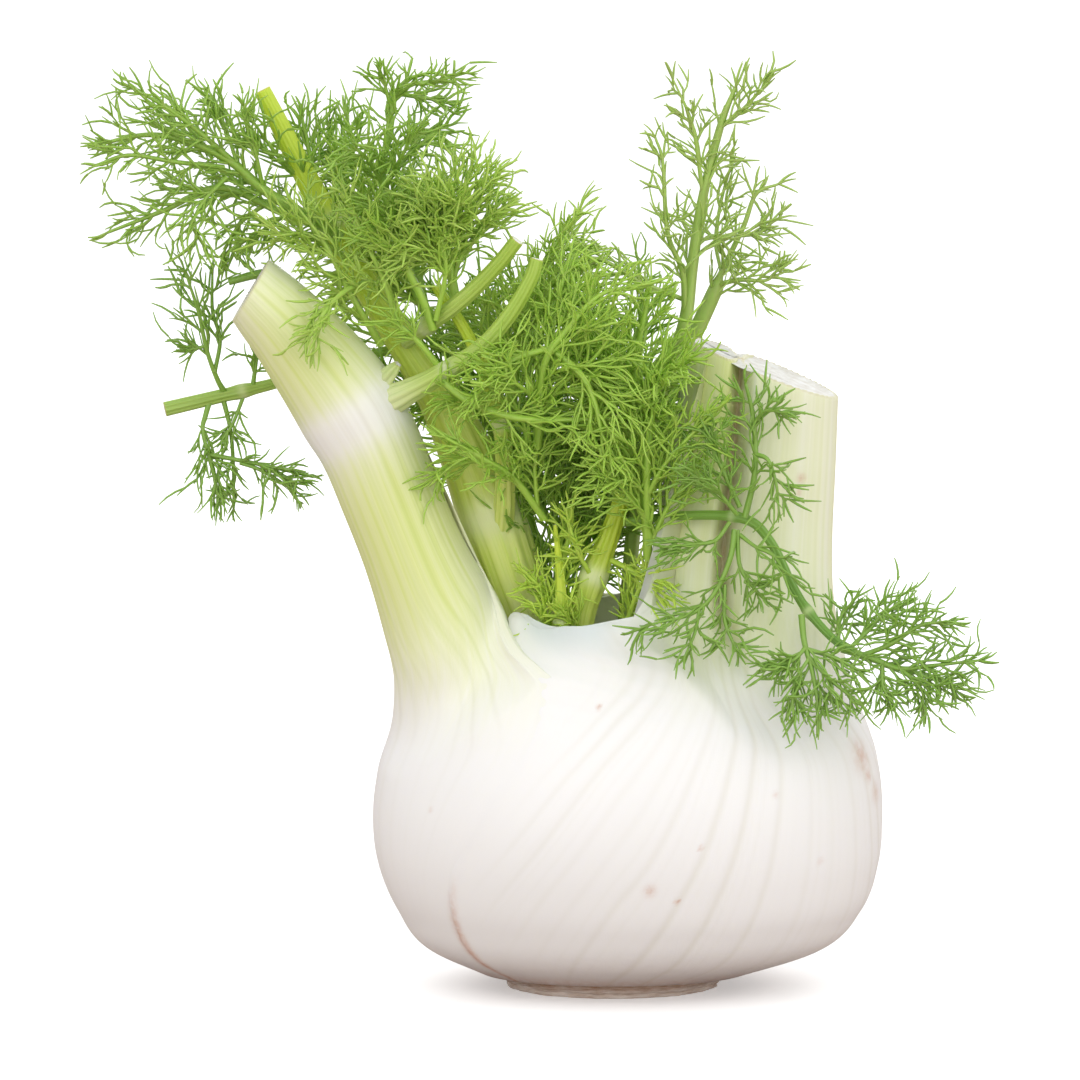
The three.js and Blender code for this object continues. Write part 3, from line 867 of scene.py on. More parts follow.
def rightSkin(t, height):
    theta, alpha, leaves, allStalk, top = rightLeafSettings["round"](t)
    shift = seamAngle(height) - 360 - seamFit["overlap"] - rightEdgeAngle
    theta += shift * (1 - ease(t, 0, 0.4))
    point = onBulb(theta, height)
    out = outward(point, height)
    beside = seamTable(height)[0] - point.x
    front = point.y < 0
    lift = 0.0
    if front:
        edge = lerp(seamFit["edgeLift"], 0.0, ease(height, 16, 34)) * ease(height, rootTop, 8)
        hidden = clamp(beside, 0, seamFit["reach"])
        lift += edge * math.exp(-max(0, -beside) / 5) - underSeam(hidden, height)
        lift -= seamFit["recess"] * ease(height, 65.5, 77.5) * (1 - ease(-beside, -2, 17))
    else:
        lift -= seamFit["backRecess"] * ease(theta, 50, 58)
    vein = rightVeins(theta, alpha, height, beside if front else -30)
    point += out * (lift - veinSettings["bulbDepth"] * vein * ease(t, 0, 0.03))
    # shallow cross folds under the lip
    if front and height > 56:
        folds = math.sin((height + 0.16 * point.x) * 1.9 + 2 * math.sin(point.x * 0.11))
        nearLip = ease(height, 56, 62) * (1 - ease(height, 70, 74))
        point += out * (0.09 * folds * bump(theta, -92, 16) * nearLip)
    stalk = onRightPair(alpha, height)
    upper = ease(height, leaves, allStalk)
    if upper > 0:
        left, right = rightPairTable(height)[:2]
        middle = Vector((left / 2 + right / 2, stalk.y * 0.2, stalk.z))
        inwards = (middle - stalk).normalized()
        stalk += inwards * veinSettings["stalkDepth"] * vein
    return point.lerp(stalk, upper), theta, alpha, vein, beside, upper, top


def leftSkin(t, height):
    theta, alpha, leaves, allStalk, top = leftLeafSettings["round"](t)
    parted = ease(height, seamFit["partFrom"], seamFit["partTo"])
    shift = seamAngle(height) + lerp(seamFit["overlap"], seamFit["above"], parted) - leftEdgeAngle
    theta += shift * ease(t, 0.6, 1.0)
    point = onBulb(theta, height)
    out = outward(point, height)
    beside = seamTable(height)[0] - point.x
    front = point.y < 0
    lift = 0.0
    if front:
        lift -= underSeam(clamp(-beside, 0, seamFit["reach"]), height) * (1 - parted)
    vein = leftVeins(t, height, beside if front else 30)
    point += out * (lift - veinSettings["bulbDepth"] * vein * ease(min(t, 1 - t), 0, 0.03))
    stalk = onLeftStalk(alpha, height)
    upper = ease(height, leaves, allStalk)
    if upper > 0:
        x, y = leftStalkTable(height)[:2]
        inwards = (Vector((x, y, height)) - stalk).normalized()
        ring = bump(height, 116, 4)  # the swollen node, where the branches leave
        stalk += inwards * (veinSettings["stalkDepth"] * vein * (1 - ring) - 0.2 * ring)
    return point.lerp(stalk, upper), theta, alpha, vein, beside, upper, top


def innerSkin(settings, skinAt, stalkAt, t, height):
    outer, theta, alpha, vein, beside, upper, top = skinAt(t, height)
    first, last, start, end = settings["innerAngles"]
    inStalk = ease(t, start, start + 0.05) * (1 - ease(t, end - 0.05, end))
    lip = leafThickness["lip"] + leafThickness["growth"] * max(0, min(top, 80) - height)
    thickness = lerp(lip, leafThickness["stalk"], inStalk)
    edge = clamp(min(t, 1 - t) / leafThickness["edge"])
    thickness *= math.sqrt(1 - (1 - edge) ** 2)
    low = towardsThroat(outer, height, thickness)
    if settings["slit"] and t > 0.6:
        besideSeam = min(low.x, seamTable(height)[0] - 0.25)
        low.x = lerp(low.x, besideSeam, ease(height, 64, 68))
    share = ease(height, 68, 82) * ease(top, 84, 100)
    if share <= 0:
        return low
    high = stalkAt(lerp(first, last, clamp((t - start) / (end - start))), height)
    return low.lerp(high, share)


def makeLeafBase(settings, skinAt, stalkAt, paint):
    outer, inner = settings["outerColumns"], settings["innerColumns"]
    rows = leafRows["bottom"] + leafRows["wall"] + leafRows["top"]
    tops = settings["round"]

    def placeVert(u, v):
        column = u * (outer + inner)
        outside = column <= outer + 0.25
        t = column / outer if outside else (outer + inner - column) / inner
        t = clamp(t)
        row = v * rows
        below = clamp(row / leafRows["bottom"])
        above = clamp((row - leafRows["bottom"] - leafRows["wall"]) / leafRows["top"])
        if below < 0.01 or above > 0.99:
            t = round(t * inner) / inner  # both sides meet on the same points
        top = tops(t)[4]
        up = clamp((row - leafRows["bottom"]) / leafRows["wall"])
        if up < leafRows["lowShare"]:
            height = lerp(rootTop, leafRows["lowHeight"], up / leafRows["lowShare"])
        else:
            upHigh = (up - leafRows["lowShare"]) / (1 - leafRows["lowShare"])
            height = lerp(leafRows["lowHeight"], settings["cutTop"], upHigh)
        height = min(height, top)  # above a leaf's edge its columns stop, and finishPiece merges them
        outerPoint, theta, alpha, vein, beside, upper, _ = skinAt(t, height)
        painted = paint(t, outerPoint, height, theta, alpha, beside, upper, top)
        painted["vein"] = vein if outside else 0.4 * vein
        painted["flesh"] = painted["rim"] = 0.0
        if outside and below >= 1 and above <= 0:
            return outerPoint, painted
        innerPoint = innerSkin(settings, skinAt, stalkAt, t, height)
        face = outerPoint if outside else innerPoint
        if below < 1:
            middle = (outerPoint + innerPoint) / 2
            return middle.lerp(face, below ** 0.5) - Vector((0, 0, 0.1 * (1 - below))), painted
        if above > 0:
            middle = (outerPoint + innerPoint) / 2
            half = (middle - face).length
            inwards = half * above ** 1.9
            rim = min(half, cutFace["rim"])
            rise = rim * math.sqrt(max(0, 1 - (1 - min(1, inwards / max(rim, 1e-4))) ** 2))
            cut = ease(top, settings["cutTop"] - 1.5, settings["cutTop"])
            spot = face.lerp(middle, above)
            rough = cutFace["roughness"] * (noise.noise(spot * 0.9) + 0.5 * noise.noise(spot * 2.3))
            sink = cut * (cutFace["sink"] * ease(inwards, 0.6, 2.4) - rough * ease(inwards, 0.5, 1.5))
            beads = cutFace["beads"] * cut * math.sin(t * (620 if outside else 410))
            beads *= bump(inwards, 0.4, 0.5)
            towards = settings["cutDirection"] if top > settings["cutTop"] - 4 else Vector((0, 0, 1))
            point = face.lerp(middle, inwards / max(half, 1e-4)) + towards * (rise - sink + beads)
            painted["flesh"] = cut * ease(inwards, 0.35, 0.9)
            painted["rim"] = cut * bump(inwards, 0.35, 0.4) * 0.7
            return point, painted
        return face, painted

    marks = ("green", "vein", "stain", "flesh", "sheer", "rim")
    piece = shapedGrid(settings["name"], outer + inner, rows, placeVert, marks, [skin])
    return place(piece, "sheath", settings["node"])


def stainsAndSeamShadow(point, height, beside, front):
    # soil beside the root, blemishes on the front, and a brown line of painted shadow along the lower
    # seam
    dirt = 0.35 * (1 - ease(height, 3.6, 6.5))
    if not front:
        return dirt
    for spot, radius, strength in blemishSpots:
        away = (point - spot).length
        if away < 3 * radius:
            dirt = max(dirt, strength * bump(away, 0, radius))
    # painted shadow: a brown line along the seam low on the front, where the right leaf's edge lies
    # over the left leaf
    edge = bump(beside, 0, 0.9) * (1 - ease(height, 10, 30))
    return max(dirt, 0.75 * edge)


def paintRight(t, point, height, theta, alpha, beside, upper, top):
    front = point.y < 0
    green = rightGreen(height)[0]
    leftOne = ease(alpha, -104, -112) * ease(t, 0.1, 0.2)  # the left stalk of the pair is greener
    green += 0.22 * leftOne * ease(height, 76, 112)
    green *= lerp(0.1, 1, max(ease(t, 0.16, 0.24), ease(height, 78, 84)))
    green *= lerp(1, 0.55, ease(theta, 20, 60) * (1 - upper))
    # painted shade: the blue-grey tint grows towards the crest of the right leaf's thin lip
    sheer = 0.75 * (1 - ease(top - height, 0, 8)) * (1 - ease(t, 0.13, 0.17)) * ease(t, 0.01, 0.06)
    crease = rightPairTable(height)[5] - math.cos(math.radians(alpha))
    # painted shade: a dark brownish line down the crease between the two stalks of the pair, carried in
    # the stain mark
    creaseShade = upper * ease(height, 72, 84) * bump(crease, 0.0, 0.03) * 0.4 if abs(alpha) > 90 else 0
    stain = max(stainsAndSeamShadow(point, height, beside, front), creaseShade)
    return {"green": clamp(green), "sheer": sheer, "stain": stain}


def paintLeft(t, point, height, theta, alpha, beside, upper, top):
    front = point.y < 0
    green = leftGreen(height)[0]
    green *= lerp(1.0, 0.5, ease(t, 0.8, 1) * (1 - ease(height, 78, 92)))
    green *= lerp(1, 0.5, ease(theta, 150, 120) * (1 - upper))
    crevice = ease(height, 63, 66) * (1 - ease(height, 76, 80)) * (1 - ease(top - height, 0, 1))
    green += 0.4 * crevice * ease(t, 0.97, 0.98)
    stain = stainsAndSeamShadow(point, height, beside, front)
    return {"green": clamp(green), "sheer": 0.0, "stain": stain}


makeLeafBase(rightLeafSettings, rightSkin, onRightPair, paintRight)
makeLeafBase(leftLeafSettings, leftSkin, onLeftStalk, paintLeft)
print("leaf bases made")


rootSettings = {
    "halfWidth": 22,
    "halfDepth": 15.5,
    "thickness": 3,
    "sides": 260,
    "rows": 40,
    "wallFrom": 0.3,  # share of the rows below the wall, and where the wall ends
    "wallTo": 0.7,
}


def makeRootPlate(settings):
    low, high = settings["wallFrom"], settings["wallTo"]

    def placeVert(u, v):
        angle = 2 * math.pi * u
        ragged = noise.noise(Vector((math.cos(angle) * 3, math.sin(angle) * 3, 0)))
        ragged += 0.5 * noise.noise(Vector((math.cos(angle) * 11, math.sin(angle) * 11, 4)))
        wall = clamp((v - low) / 0.4)
        if v < low:
            reach = clamp(v / low)
        else:
            reach = 1 if v < high else 1 - (v - high) / 0.3
        height = 0 if v < low else settings["thickness"] * wall
        steps = 0.03 * math.sin(wall * 19 + 3 * ragged)
        spread = reach * (0.955 + 0.035 * ragged + steps * (1 - abs(2 * wall - 1)))
        point = Vector((
            settings["halfWidth"] * math.cos(angle) * spread,
            settings["halfDepth"] * math.sin(angle) * spread,
            height,
        ))
        if v >= high:
            point.z += 0.25 * noise.noise(point * 0.8)
        elif v < low:
            point.z += max(0, 0.3 * noise.noise(point * 0.7)) * (1 - reach)
        return point, {"stain": clamp(0.5 + ragged) * ease(wall, 0.3, 0.9)}

    sides, rows = settings["sides"], settings["rows"]
    piece = shapedGrid("rootPlate", sides, rows, placeVert, ("stain",), [rootBark])
    place(piece, "root_plate", "root_plate")


makeRootPlate(rootSettings)
print("root plate made")


def smoothRoute(route, steps):
    # evenly spaced points (place, radius) on a smooth line through the route
    points = [Vector(stop[:3]) for stop in route]
    radii = [stop[3] for stop in route]
    dense = []
    for i in range(len(points) - 1):
        before = points[i - 1] if i else points[0] * 2 - points[1]
        after = points[i + 2] if i + 2 < len(points) else points[-1] * 2 - points[-2]
        for k in range(12):
            s = k / 12
            a, b, c, d = before, points[i], points[i + 1], after
            square = 2 * a - 5 * b + 4 * c - d
            cube = 3 * b - a - 3 * c + d
            spot = 0.5 * (2 * b + (c - a) * s + square * s * s + cube * s ** 3)
            dense.append((spot, lerp(radii[i], radii[i + 1], s)))
    dense.append((points[-1], radii[-1]))
    gone = [0.0]
    for (a, _), (b, _) in zip(dense, dense[1:]):
        gone.append(gone[-1] + (b - a).length)
    even, k = [], 0
    for step in range(steps + 1):
        at = gone[-1] * step / steps
        while k < len(gone) - 2 and gone[k + 1] < at:
            k += 1
        s = clamp((at - gone[k]) / max(gone[k + 1] - gone[k], 1e-9))
        even.append((dense[k][0].lerp(dense[k + 1][0], s), lerp(dense[k][1], dense[k + 1][1], s)))
    return even, gone[-1]


def routeFrames(line):
    # at each point: place, radius, direction and two sides that don't twist
    frames = []
    side = None
    for i, (spot, radius) in enumerate(line):
        ahead = (line[min(i + 1, len(line) - 1)][0] - line[max(i - 1, 0)][0]).normalized()
        if side is None:
            side = ahead.cross(Vector((0, 1, 0))).normalized()
        side = (side - ahead * side.dot(ahead)).normalized()
        frames.append((spot, radius, ahead, side, ahead.cross(side)))
    return frames


# rows along a stalk, rows that close each end, points round it
stalkGrid = {"along": 150, "caps": 5, "sides": 56}
# route of (x, y, z, radius); nodes are (share of the length, swelling); flat widens it from side to
# side; whiteFoot is the share of the length that stays white
stalkSettings = {
    "inner_left_stalk": {
        "skin": "throat", "ribs": 15, "rib": 0.05, "flat": 1.16,
        "nodes": [(0.31, 0.05), (0.79, 0.22)], "whiteFoot": 0.1,
        "route": [
            (-10.5, 3, 54, 4), (-14.5, 3, 68, 4.9), (-20, 3, 83, 5.3), (-24.6, 3.5, 96, 5.4),
            (-33, 4, 116, 3.9), (-42, 4.5, 130, 2.7), (-56.4, 5, 154, 2.2), (-69.6, 5, 180, 1.4),
        ],
    },
    "inner_fork_stalk": {
        "skin": "throat", "ribs": 9, "rib": 0.06, "flat": 1.0,
        "nodes": [(0.5, 0.3)], "whiteFoot": 0,
        "route": [
            (-22, 2.5, 86, 1.6), (-21.8, 0, 93, 2.2), (-21.4, -2.4, 99, 2.1), (-21.4, -5, 106, 1.8),
            (-22.4, -6.5, 116, 1.5), (-28, -6, 131, 1.2), (-35, -5.5, 142, 1),
        ],
    },
    "cut_branch_upper": {
        "skin": "branch", "ribs": 9, "rib": 0.06, "flat": 1.05,
        "nodes": [(0.26, 0.3)], "whiteFoot": 0,
        "route": [
            (-41, 1, 130, 1.2), (-36.4, -7, 134.6, 1.5), (-31.4, -10.8, 138.6, 1.5),
            (-26.8, -12.5, 142.8, 1.45), (-22.4, -14, 147.6, 1.35), (-19, -15, 152, 1.3),
        ],
    },
    "cut_branch_lower": {
        "skin": "branch", "ribs": 9, "rib": 0.06, "flat": 1.05,
        "nodes": [(0.42, 0.15)], "whiteFoot": 0.24,
        "route": [
            (-50, -8, 116.5, 3.6), (-45, -9.6, 119.2, 3.1), (-40, -11.3, 121.9, 2.3),
            (-35, -13, 124.8, 1.8), (-26.4, -15, 130.6, 1.5), (-20.4, -16, 137.4, 1.45),
            (-16.2, -16.5, 144.6, 1.3), (-15, -16.5, 148.4, 1.2),
        ],
    },
    "torn_stub": {
        "skin": "branch", "ribs": 5, "rib": 0.12, "flat": 0.8,
        "nodes": [], "whiteFoot": 1.2,
        "extra": True,  # a torn scrap above the branch, small enough to have no node of its own
        "route": [
            (-48, -8, 120, 2.6), (-45.6, -9, 123.4, 2.3), (-43.6, -10, 125.8, 1.7),
            (-42.6, -10.4, 127, 1),
        ],
    },
    "heart_stalk": {
        "skin": "throat", "ribs": 9, "rib": 0.06, "flat": 1.05,
        "nodes": [(0.62, 0.16)], "whiteFoot": 0.1,
        "route": [
            (-3.5, -4, 56, 1.7), (-6.2, -6, 72, 2.3), (-4, -6.5, 83, 2.5), (-0.6, -6, 92, 1.9),
            (2.4, -5.5, 101, 1.4),
        ],
    },
    "heart_shoot": {
        "skin": "throat", "ribs": 7, "rib": 0.06, "flat": 1.0,
        "nodes": [(0.5, 0.3)], "whiteFoot": 0,
        "route": [(-9, -8, 56, 1), (-10, -10, 75, 1.4), (-10.4, -11, 85, 0.9), (-11.4, -11, 95, 0.35)],
    },
    "left_twig": {
        "skin": "twig", "ribs": 9, "rib": 0.08, "flat": 1.0,
        "nodes": [(0.7, 0.3)], "whiteFoot": 0,
        "route": [
            (-39, 9.6, 129, 0.9), (-52, 11, 125.5, 0.95), (-67, 10, 121, 1.05),
            (-78.6, 8.5, 118.4, 1.3), (-89.4, 7, 116, 1.4),
        ],
    },
    "hanging_stem": {
        "skin": "hanging", "ribs": 7, "rib": 0.08, "flat": 1.0,
        "nodes": [(0.36, 0.3), (0.75, 0.4)], "whiteFoot": 0,
        "route": [
            (3, -7, 95, 0.8), (13.6, -12, 97, 0.85), (25.6, -18.5, 97.4, 0.95),
            (31, -19.5, 93, 0.9), (35.6, -22, 84, 0.9), (39, -24.5, 79, 0.85),
            (44.6, -26, 73.4, 0.75), (51, -25, 70, 0.65),
        ],
    },
}


def makeStalk(node, spec):
    along, caps, sides = stalkGrid["along"], stalkGrid["caps"], stalkGrid["sides"]
    line, length = smoothRoute(spec["route"], along)
    frames = routeFrames(line)

    def placeVert(u, v):
        row = v * (along + 2 * caps)
        atFoot = row < caps
        closing = clamp(1 - row / caps) if atFoot else clamp((row - along - caps) / caps)
        step = int(round(clamp(row - caps, 0, along)))
        spot, radius, ahead, side, back = frames[step]
        share = step / along
        swell, ring = 0.0, 0.0
        for at, amount in spec["nodes"]:
            swell += amount * bump(share * length, at * length, 1.4 * radius)
            ring = max(ring, bump(share * length, at * length, 0.8 * radius))
        turn = 2 * math.pi * u
        ribs = spec["rib"] * math.cos(turn * spec["ribs"]) * (1 - ring)
        wide = radius * (1 + swell + ribs)
        if closing < 0.3:
            wide *= math.sqrt(max(0, 1 - closing ** 2))
        else:
            wide *= lerp(0.95, 0, (closing - 0.3) / 0.7)
        end = -1 if atFoot else 1
        push = 0.2 * radius * ease(closing, 0, 0.3) - 0.3 * radius * ease(closing, 0.35, 0.8)
        point = spot + side * (wide * spec["flat"] * math.cos(turn)) + back * (wide * math.sin(turn))
        point += ahead * (end * push)
        white = spec["whiteFoot"]
        foot = ease(share, white + 0.12, white * 0.5) if white else 0
        marks = {
            "green": clamp(0.25 + 0.9 * share) * (1 - 0.9 * foot),
            "vein": clamp(0.6 * ring + 0.5 * foot),
            "flesh": ease(closing, 0.25, 0.5),
            "stain": 0.35 * bump(closing, 0.2, 0.12) if closing > 0 else 0.0,
        }
        return point, marks

    name = node.replace("_", " ").title().replace(" ", "")
    marks = ("green", "vein", "flesh", "stain")
    skin = stemSkins[spec["skin"]]
    piece = shapedGrid(name, sides, along + 2 * caps, placeVert, marks, [skin])
    place(piece, "stalk", *([] if "extra" in spec else [node]))


for node, spec in stalkSettings.items():
    makeStalk(node, spec)
print("stalks made")


threadSettings = {
    "radius": 0.23,
    "curl": 0.34,
    "forkEvery": 3.6,
    "forkLength": (2.6, 6.6),
    "room": ((-105.5, 77), (-38.6, 38.2), (2, 188)),  # low and high x, y and z that threads stay within
}
featherSettings = {
    "pieces": 5,
    "radius": 0.22,
    "radiusGrowth": 0.014,  # added for each millimetre of length
    "tipRadii": (0.25, 0.22, 0.12),
    "spacing": 1.75,  # between the threads along it
}
firstSeed = 11

# height, x, y and radius of the thick part of the inner left stalk
thickStalkTable = smoothTable([
    (z, x, y, radius) for x, y, z, radius in stalkSettings["inner_left_stalk"]["route"][:6]
])


def insideThickStalk(point):
    # threads keep out of the thick part of the inner left stalk
    if not 54 < point.z < 126:
        return False
    x, y, radius = thickStalkTable(point.z)
    return math.hypot(0.9 * (point.x - x), point.y - y) < radius


class Spray:
    # gathers every stem and thread of one frond
    def __init__(self, seed, openness):
        self.dice = random.Random(seed)
        self.open = openness  # above 1 spaces the side branches out
        self.strands = []

    def inRoom(self, point):
        room = threadSettings["room"]
        return all(low <= value <= high for value, (low, high) in zip(point, room))

    def strand(self, points, radii, kind):
        if all(self.inRoom(point) for point in points):
            self.strands.append((points, radii, kind))
            return True
        return False

    def thread(self, start, heading, length, bend):
        # one hair-thin leaf, curving as it goes
        dice = self.dice
        points = [start]
        curl = bend * 0.12 + self.jitter(threadSettings["curl"])
        for _ in range(3):
            points.append(points[-1] + heading * (length / 3))
            heading = (heading + curl).normalized()
        radius = threadSettings["radius"] * dice.uniform(0.8, 1.3)
        if not any(insideThickStalk(point) for point in points):
            self.strand(points, [radius, radius, 0.85 * radius, 0.45 * radius], 1)
        return points

    def sideways(self, along, roll):
        # a direction square to the stem, rolled round it
        base = along.cross(Vector((0, 1, 0)))
        if base.length < 0.2:
            base = along.cross(Vector((1, 0, 0)))
        return Quaternion(along, roll) @ base.normalized()

    def feather(self, start, along, out, length):
        # one side branch of a frond: a thin stem with threads on it, side after side
        dice = self.dice
        heading = (along * 0.82 + out * 0.58 + self.jitter(0.2)).normalized()
        points, headings = [start], []
        pieces = featherSettings["pieces"]
        curl = self.jitter(0.16)
        for _ in range(pieces):
            headings.append(heading)
            points.append(points[-1] + heading * length / pieces)
            heading = (heading + along * 0.08 + curl + self.jitter(0.08)).normalized()
        radius = featherSettings["radius"] + featherSettings["radiusGrowth"] * length
        if not self.strand(points, [radius, radius, 0.9 * radius, *featherSettings["tipRadii"]], 1):
            return
        count = max(3, round(length / (featherSettings["spacing"] * self.open)))
        flat = along.cross(out).normalized()
        side = dice.choice((-1, 1))
        for k in range(count):
            share = 0.16 + 0.76 * (k + dice.uniform(0, 0.7)) / count
            piece = min(int(share * pieces), pieces - 1)
            spot = points[piece].lerp(points[piece + 1], share * pieces - piece)
            small = (0.5 * length * (1 - 0.45 * share) + 3.6) * dice.uniform(0.5, 1.3)
            away = flat.cross(headings[piece]) * side
            away = Quaternion(headings[piece], dice.uniform(-1.2, 1.2)) @ away
            self.twiglet(spot, headings[piece], away.normalized(), small)
            side = -side

    def twiglet(self, start, along, out, length):
        # a thread that forks once or twice
        dice = self.dice
        heading = (along * 0.86 + out * 0.52 + self.jitter(0.2)).normalized()
        points = self.thread(start, heading, length, along * 0.6)
        forks = length / (threadSettings["forkEvery"] * self.open) + dice.uniform(0.2, 0.9)
        for _ in range(min(2, int(forks))):
            k = dice.choice((0, 1, 1, 2))
            spot = points[k].lerp(points[k + 1], dice.uniform(0.2, 0.9))
            forward = (points[k + 1] - points[k]).normalized()
            away = Quaternion(forward, dice.uniform(0, 2 * math.pi)) @ self.sideways(forward, 0)
            away = (forward * 0.86 + away * 0.48).normalized()
            self.thread(spot, away, dice.uniform(*threadSettings["forkLength"]), forward * 0.6)

    def jitter(self, amount):
        dice = self.dice
        return Vector((dice.gauss(0, 1), dice.gauss(0, 1), dice.gauss(0, 1))) * amount * 0.6

    def leaf(self, route, reach, pairs, first):
        # a main stem with feathers in pairs from the share first up to its tip
        dice = self.dice
        line, length = smoothRoute(route, 8 * len(route))
        frames = routeFrames(line)
        self.strand([spot for spot, _ in line], [radius for _, radius in line], 0)
        roll = dice.uniform(-0.5, 0.5)
        for pair in range(pairs):
            share = first + (0.98 - first) * (pair + dice.uniform(0, 0.35)) / pairs
            spread = math.sin(math.pi * clamp(0.3 + 0.62 * (share - first) / (1 - first)))
            roll += dice.uniform(-0.5, 0.5)
            for side in (-1, 1):
                at = clamp(share + dice.uniform(-0.015, 0.015))
                spot, radius, ahead, _, _ = frames[int(at * (len(frames) - 1))]
                out = self.sideways(ahead, roll + dice.uniform(-0.35, 0.35)) * side
                self.feather(spot, ahead, out, reach * max(0.35, spread) * dice.uniform(0.8, 1.1))
        spot, _, ahead, _, _ = frames[-1]
        for _ in range(3 if pairs else 0):
            away = (ahead + self.jitter(0.5)).normalized()
            self.thread(spot, away, 0.4 * reach + 1.5, self.jitter(0.5))

    def extraLeaf(self, route, reach, pairs):
        # one more leaf from low on the main stem, leaning off to a side
        dice = self.dice
        line, length = smoothRoute(route, 8 * len(route))
        frames = routeFrames(line)
        start = int(dice.uniform(0.02, 0.42) * (len(frames) - 1))
        spot, _, ahead, side, back = frames[start]
        roll = dice.uniform(0, 2 * math.pi)
        out = (side * math.cos(roll) + back * math.sin(roll) * 0.7).normalized()
        far = length * dice.uniform(0.35, 0.6)
        path = [(*spot, 0.6)]
        heading = (ahead + out * 0.55).normalized()
        for k in range(3):
            spot = spot + heading * far / 3
            heading = (heading + out * 0.18 + self.jitter(0.18)).normalized()
            path.append((*spot, 0.5 - 0.08 * k))
        self.leaf(path, reach * 0.8, max(4, pairs - 2), 0.2)

    def make(self, name, look):
        data = bpy.data.curves.new(name, "CURVE")
        data.dimensions = "3D"
        data.bevel_depth = mm
        data.bevel_resolution = 0
        data.use_fill_caps = True
        for points, radii, kind in self.strands:
            spline = data.splines.new("POLY")
            spline.points.add(len(points) - 1)
            flat = []
            for point in points:
                flat.extend((point.x * mm, point.y * mm, point.z * mm, 1))
            spline.points.foreach_set("co", flat)
            spline.points.foreach_set("radius", radii)
            spline.material_index = kind
            spline.use_smooth = True
        holder = bpy.data.objects.new(name + "Curve", data)
        bpy.context.scene.collection.objects.link(holder)
        bpy.context.view_layer.update()
        mesh = bpy.data.meshes.new_from_object(holder)
        bpy.data.objects.remove(holder)
        bpy.data.curves.remove(data)
        mesh.name = name
        mesh.materials.clear()
        for material in frondMaterials[look]:
            mesh.materials.append(material)
        piece = bpy.data.objects.new(name, mesh)
        bpy.context.scene.collection.objects.link(piece)
        return piece


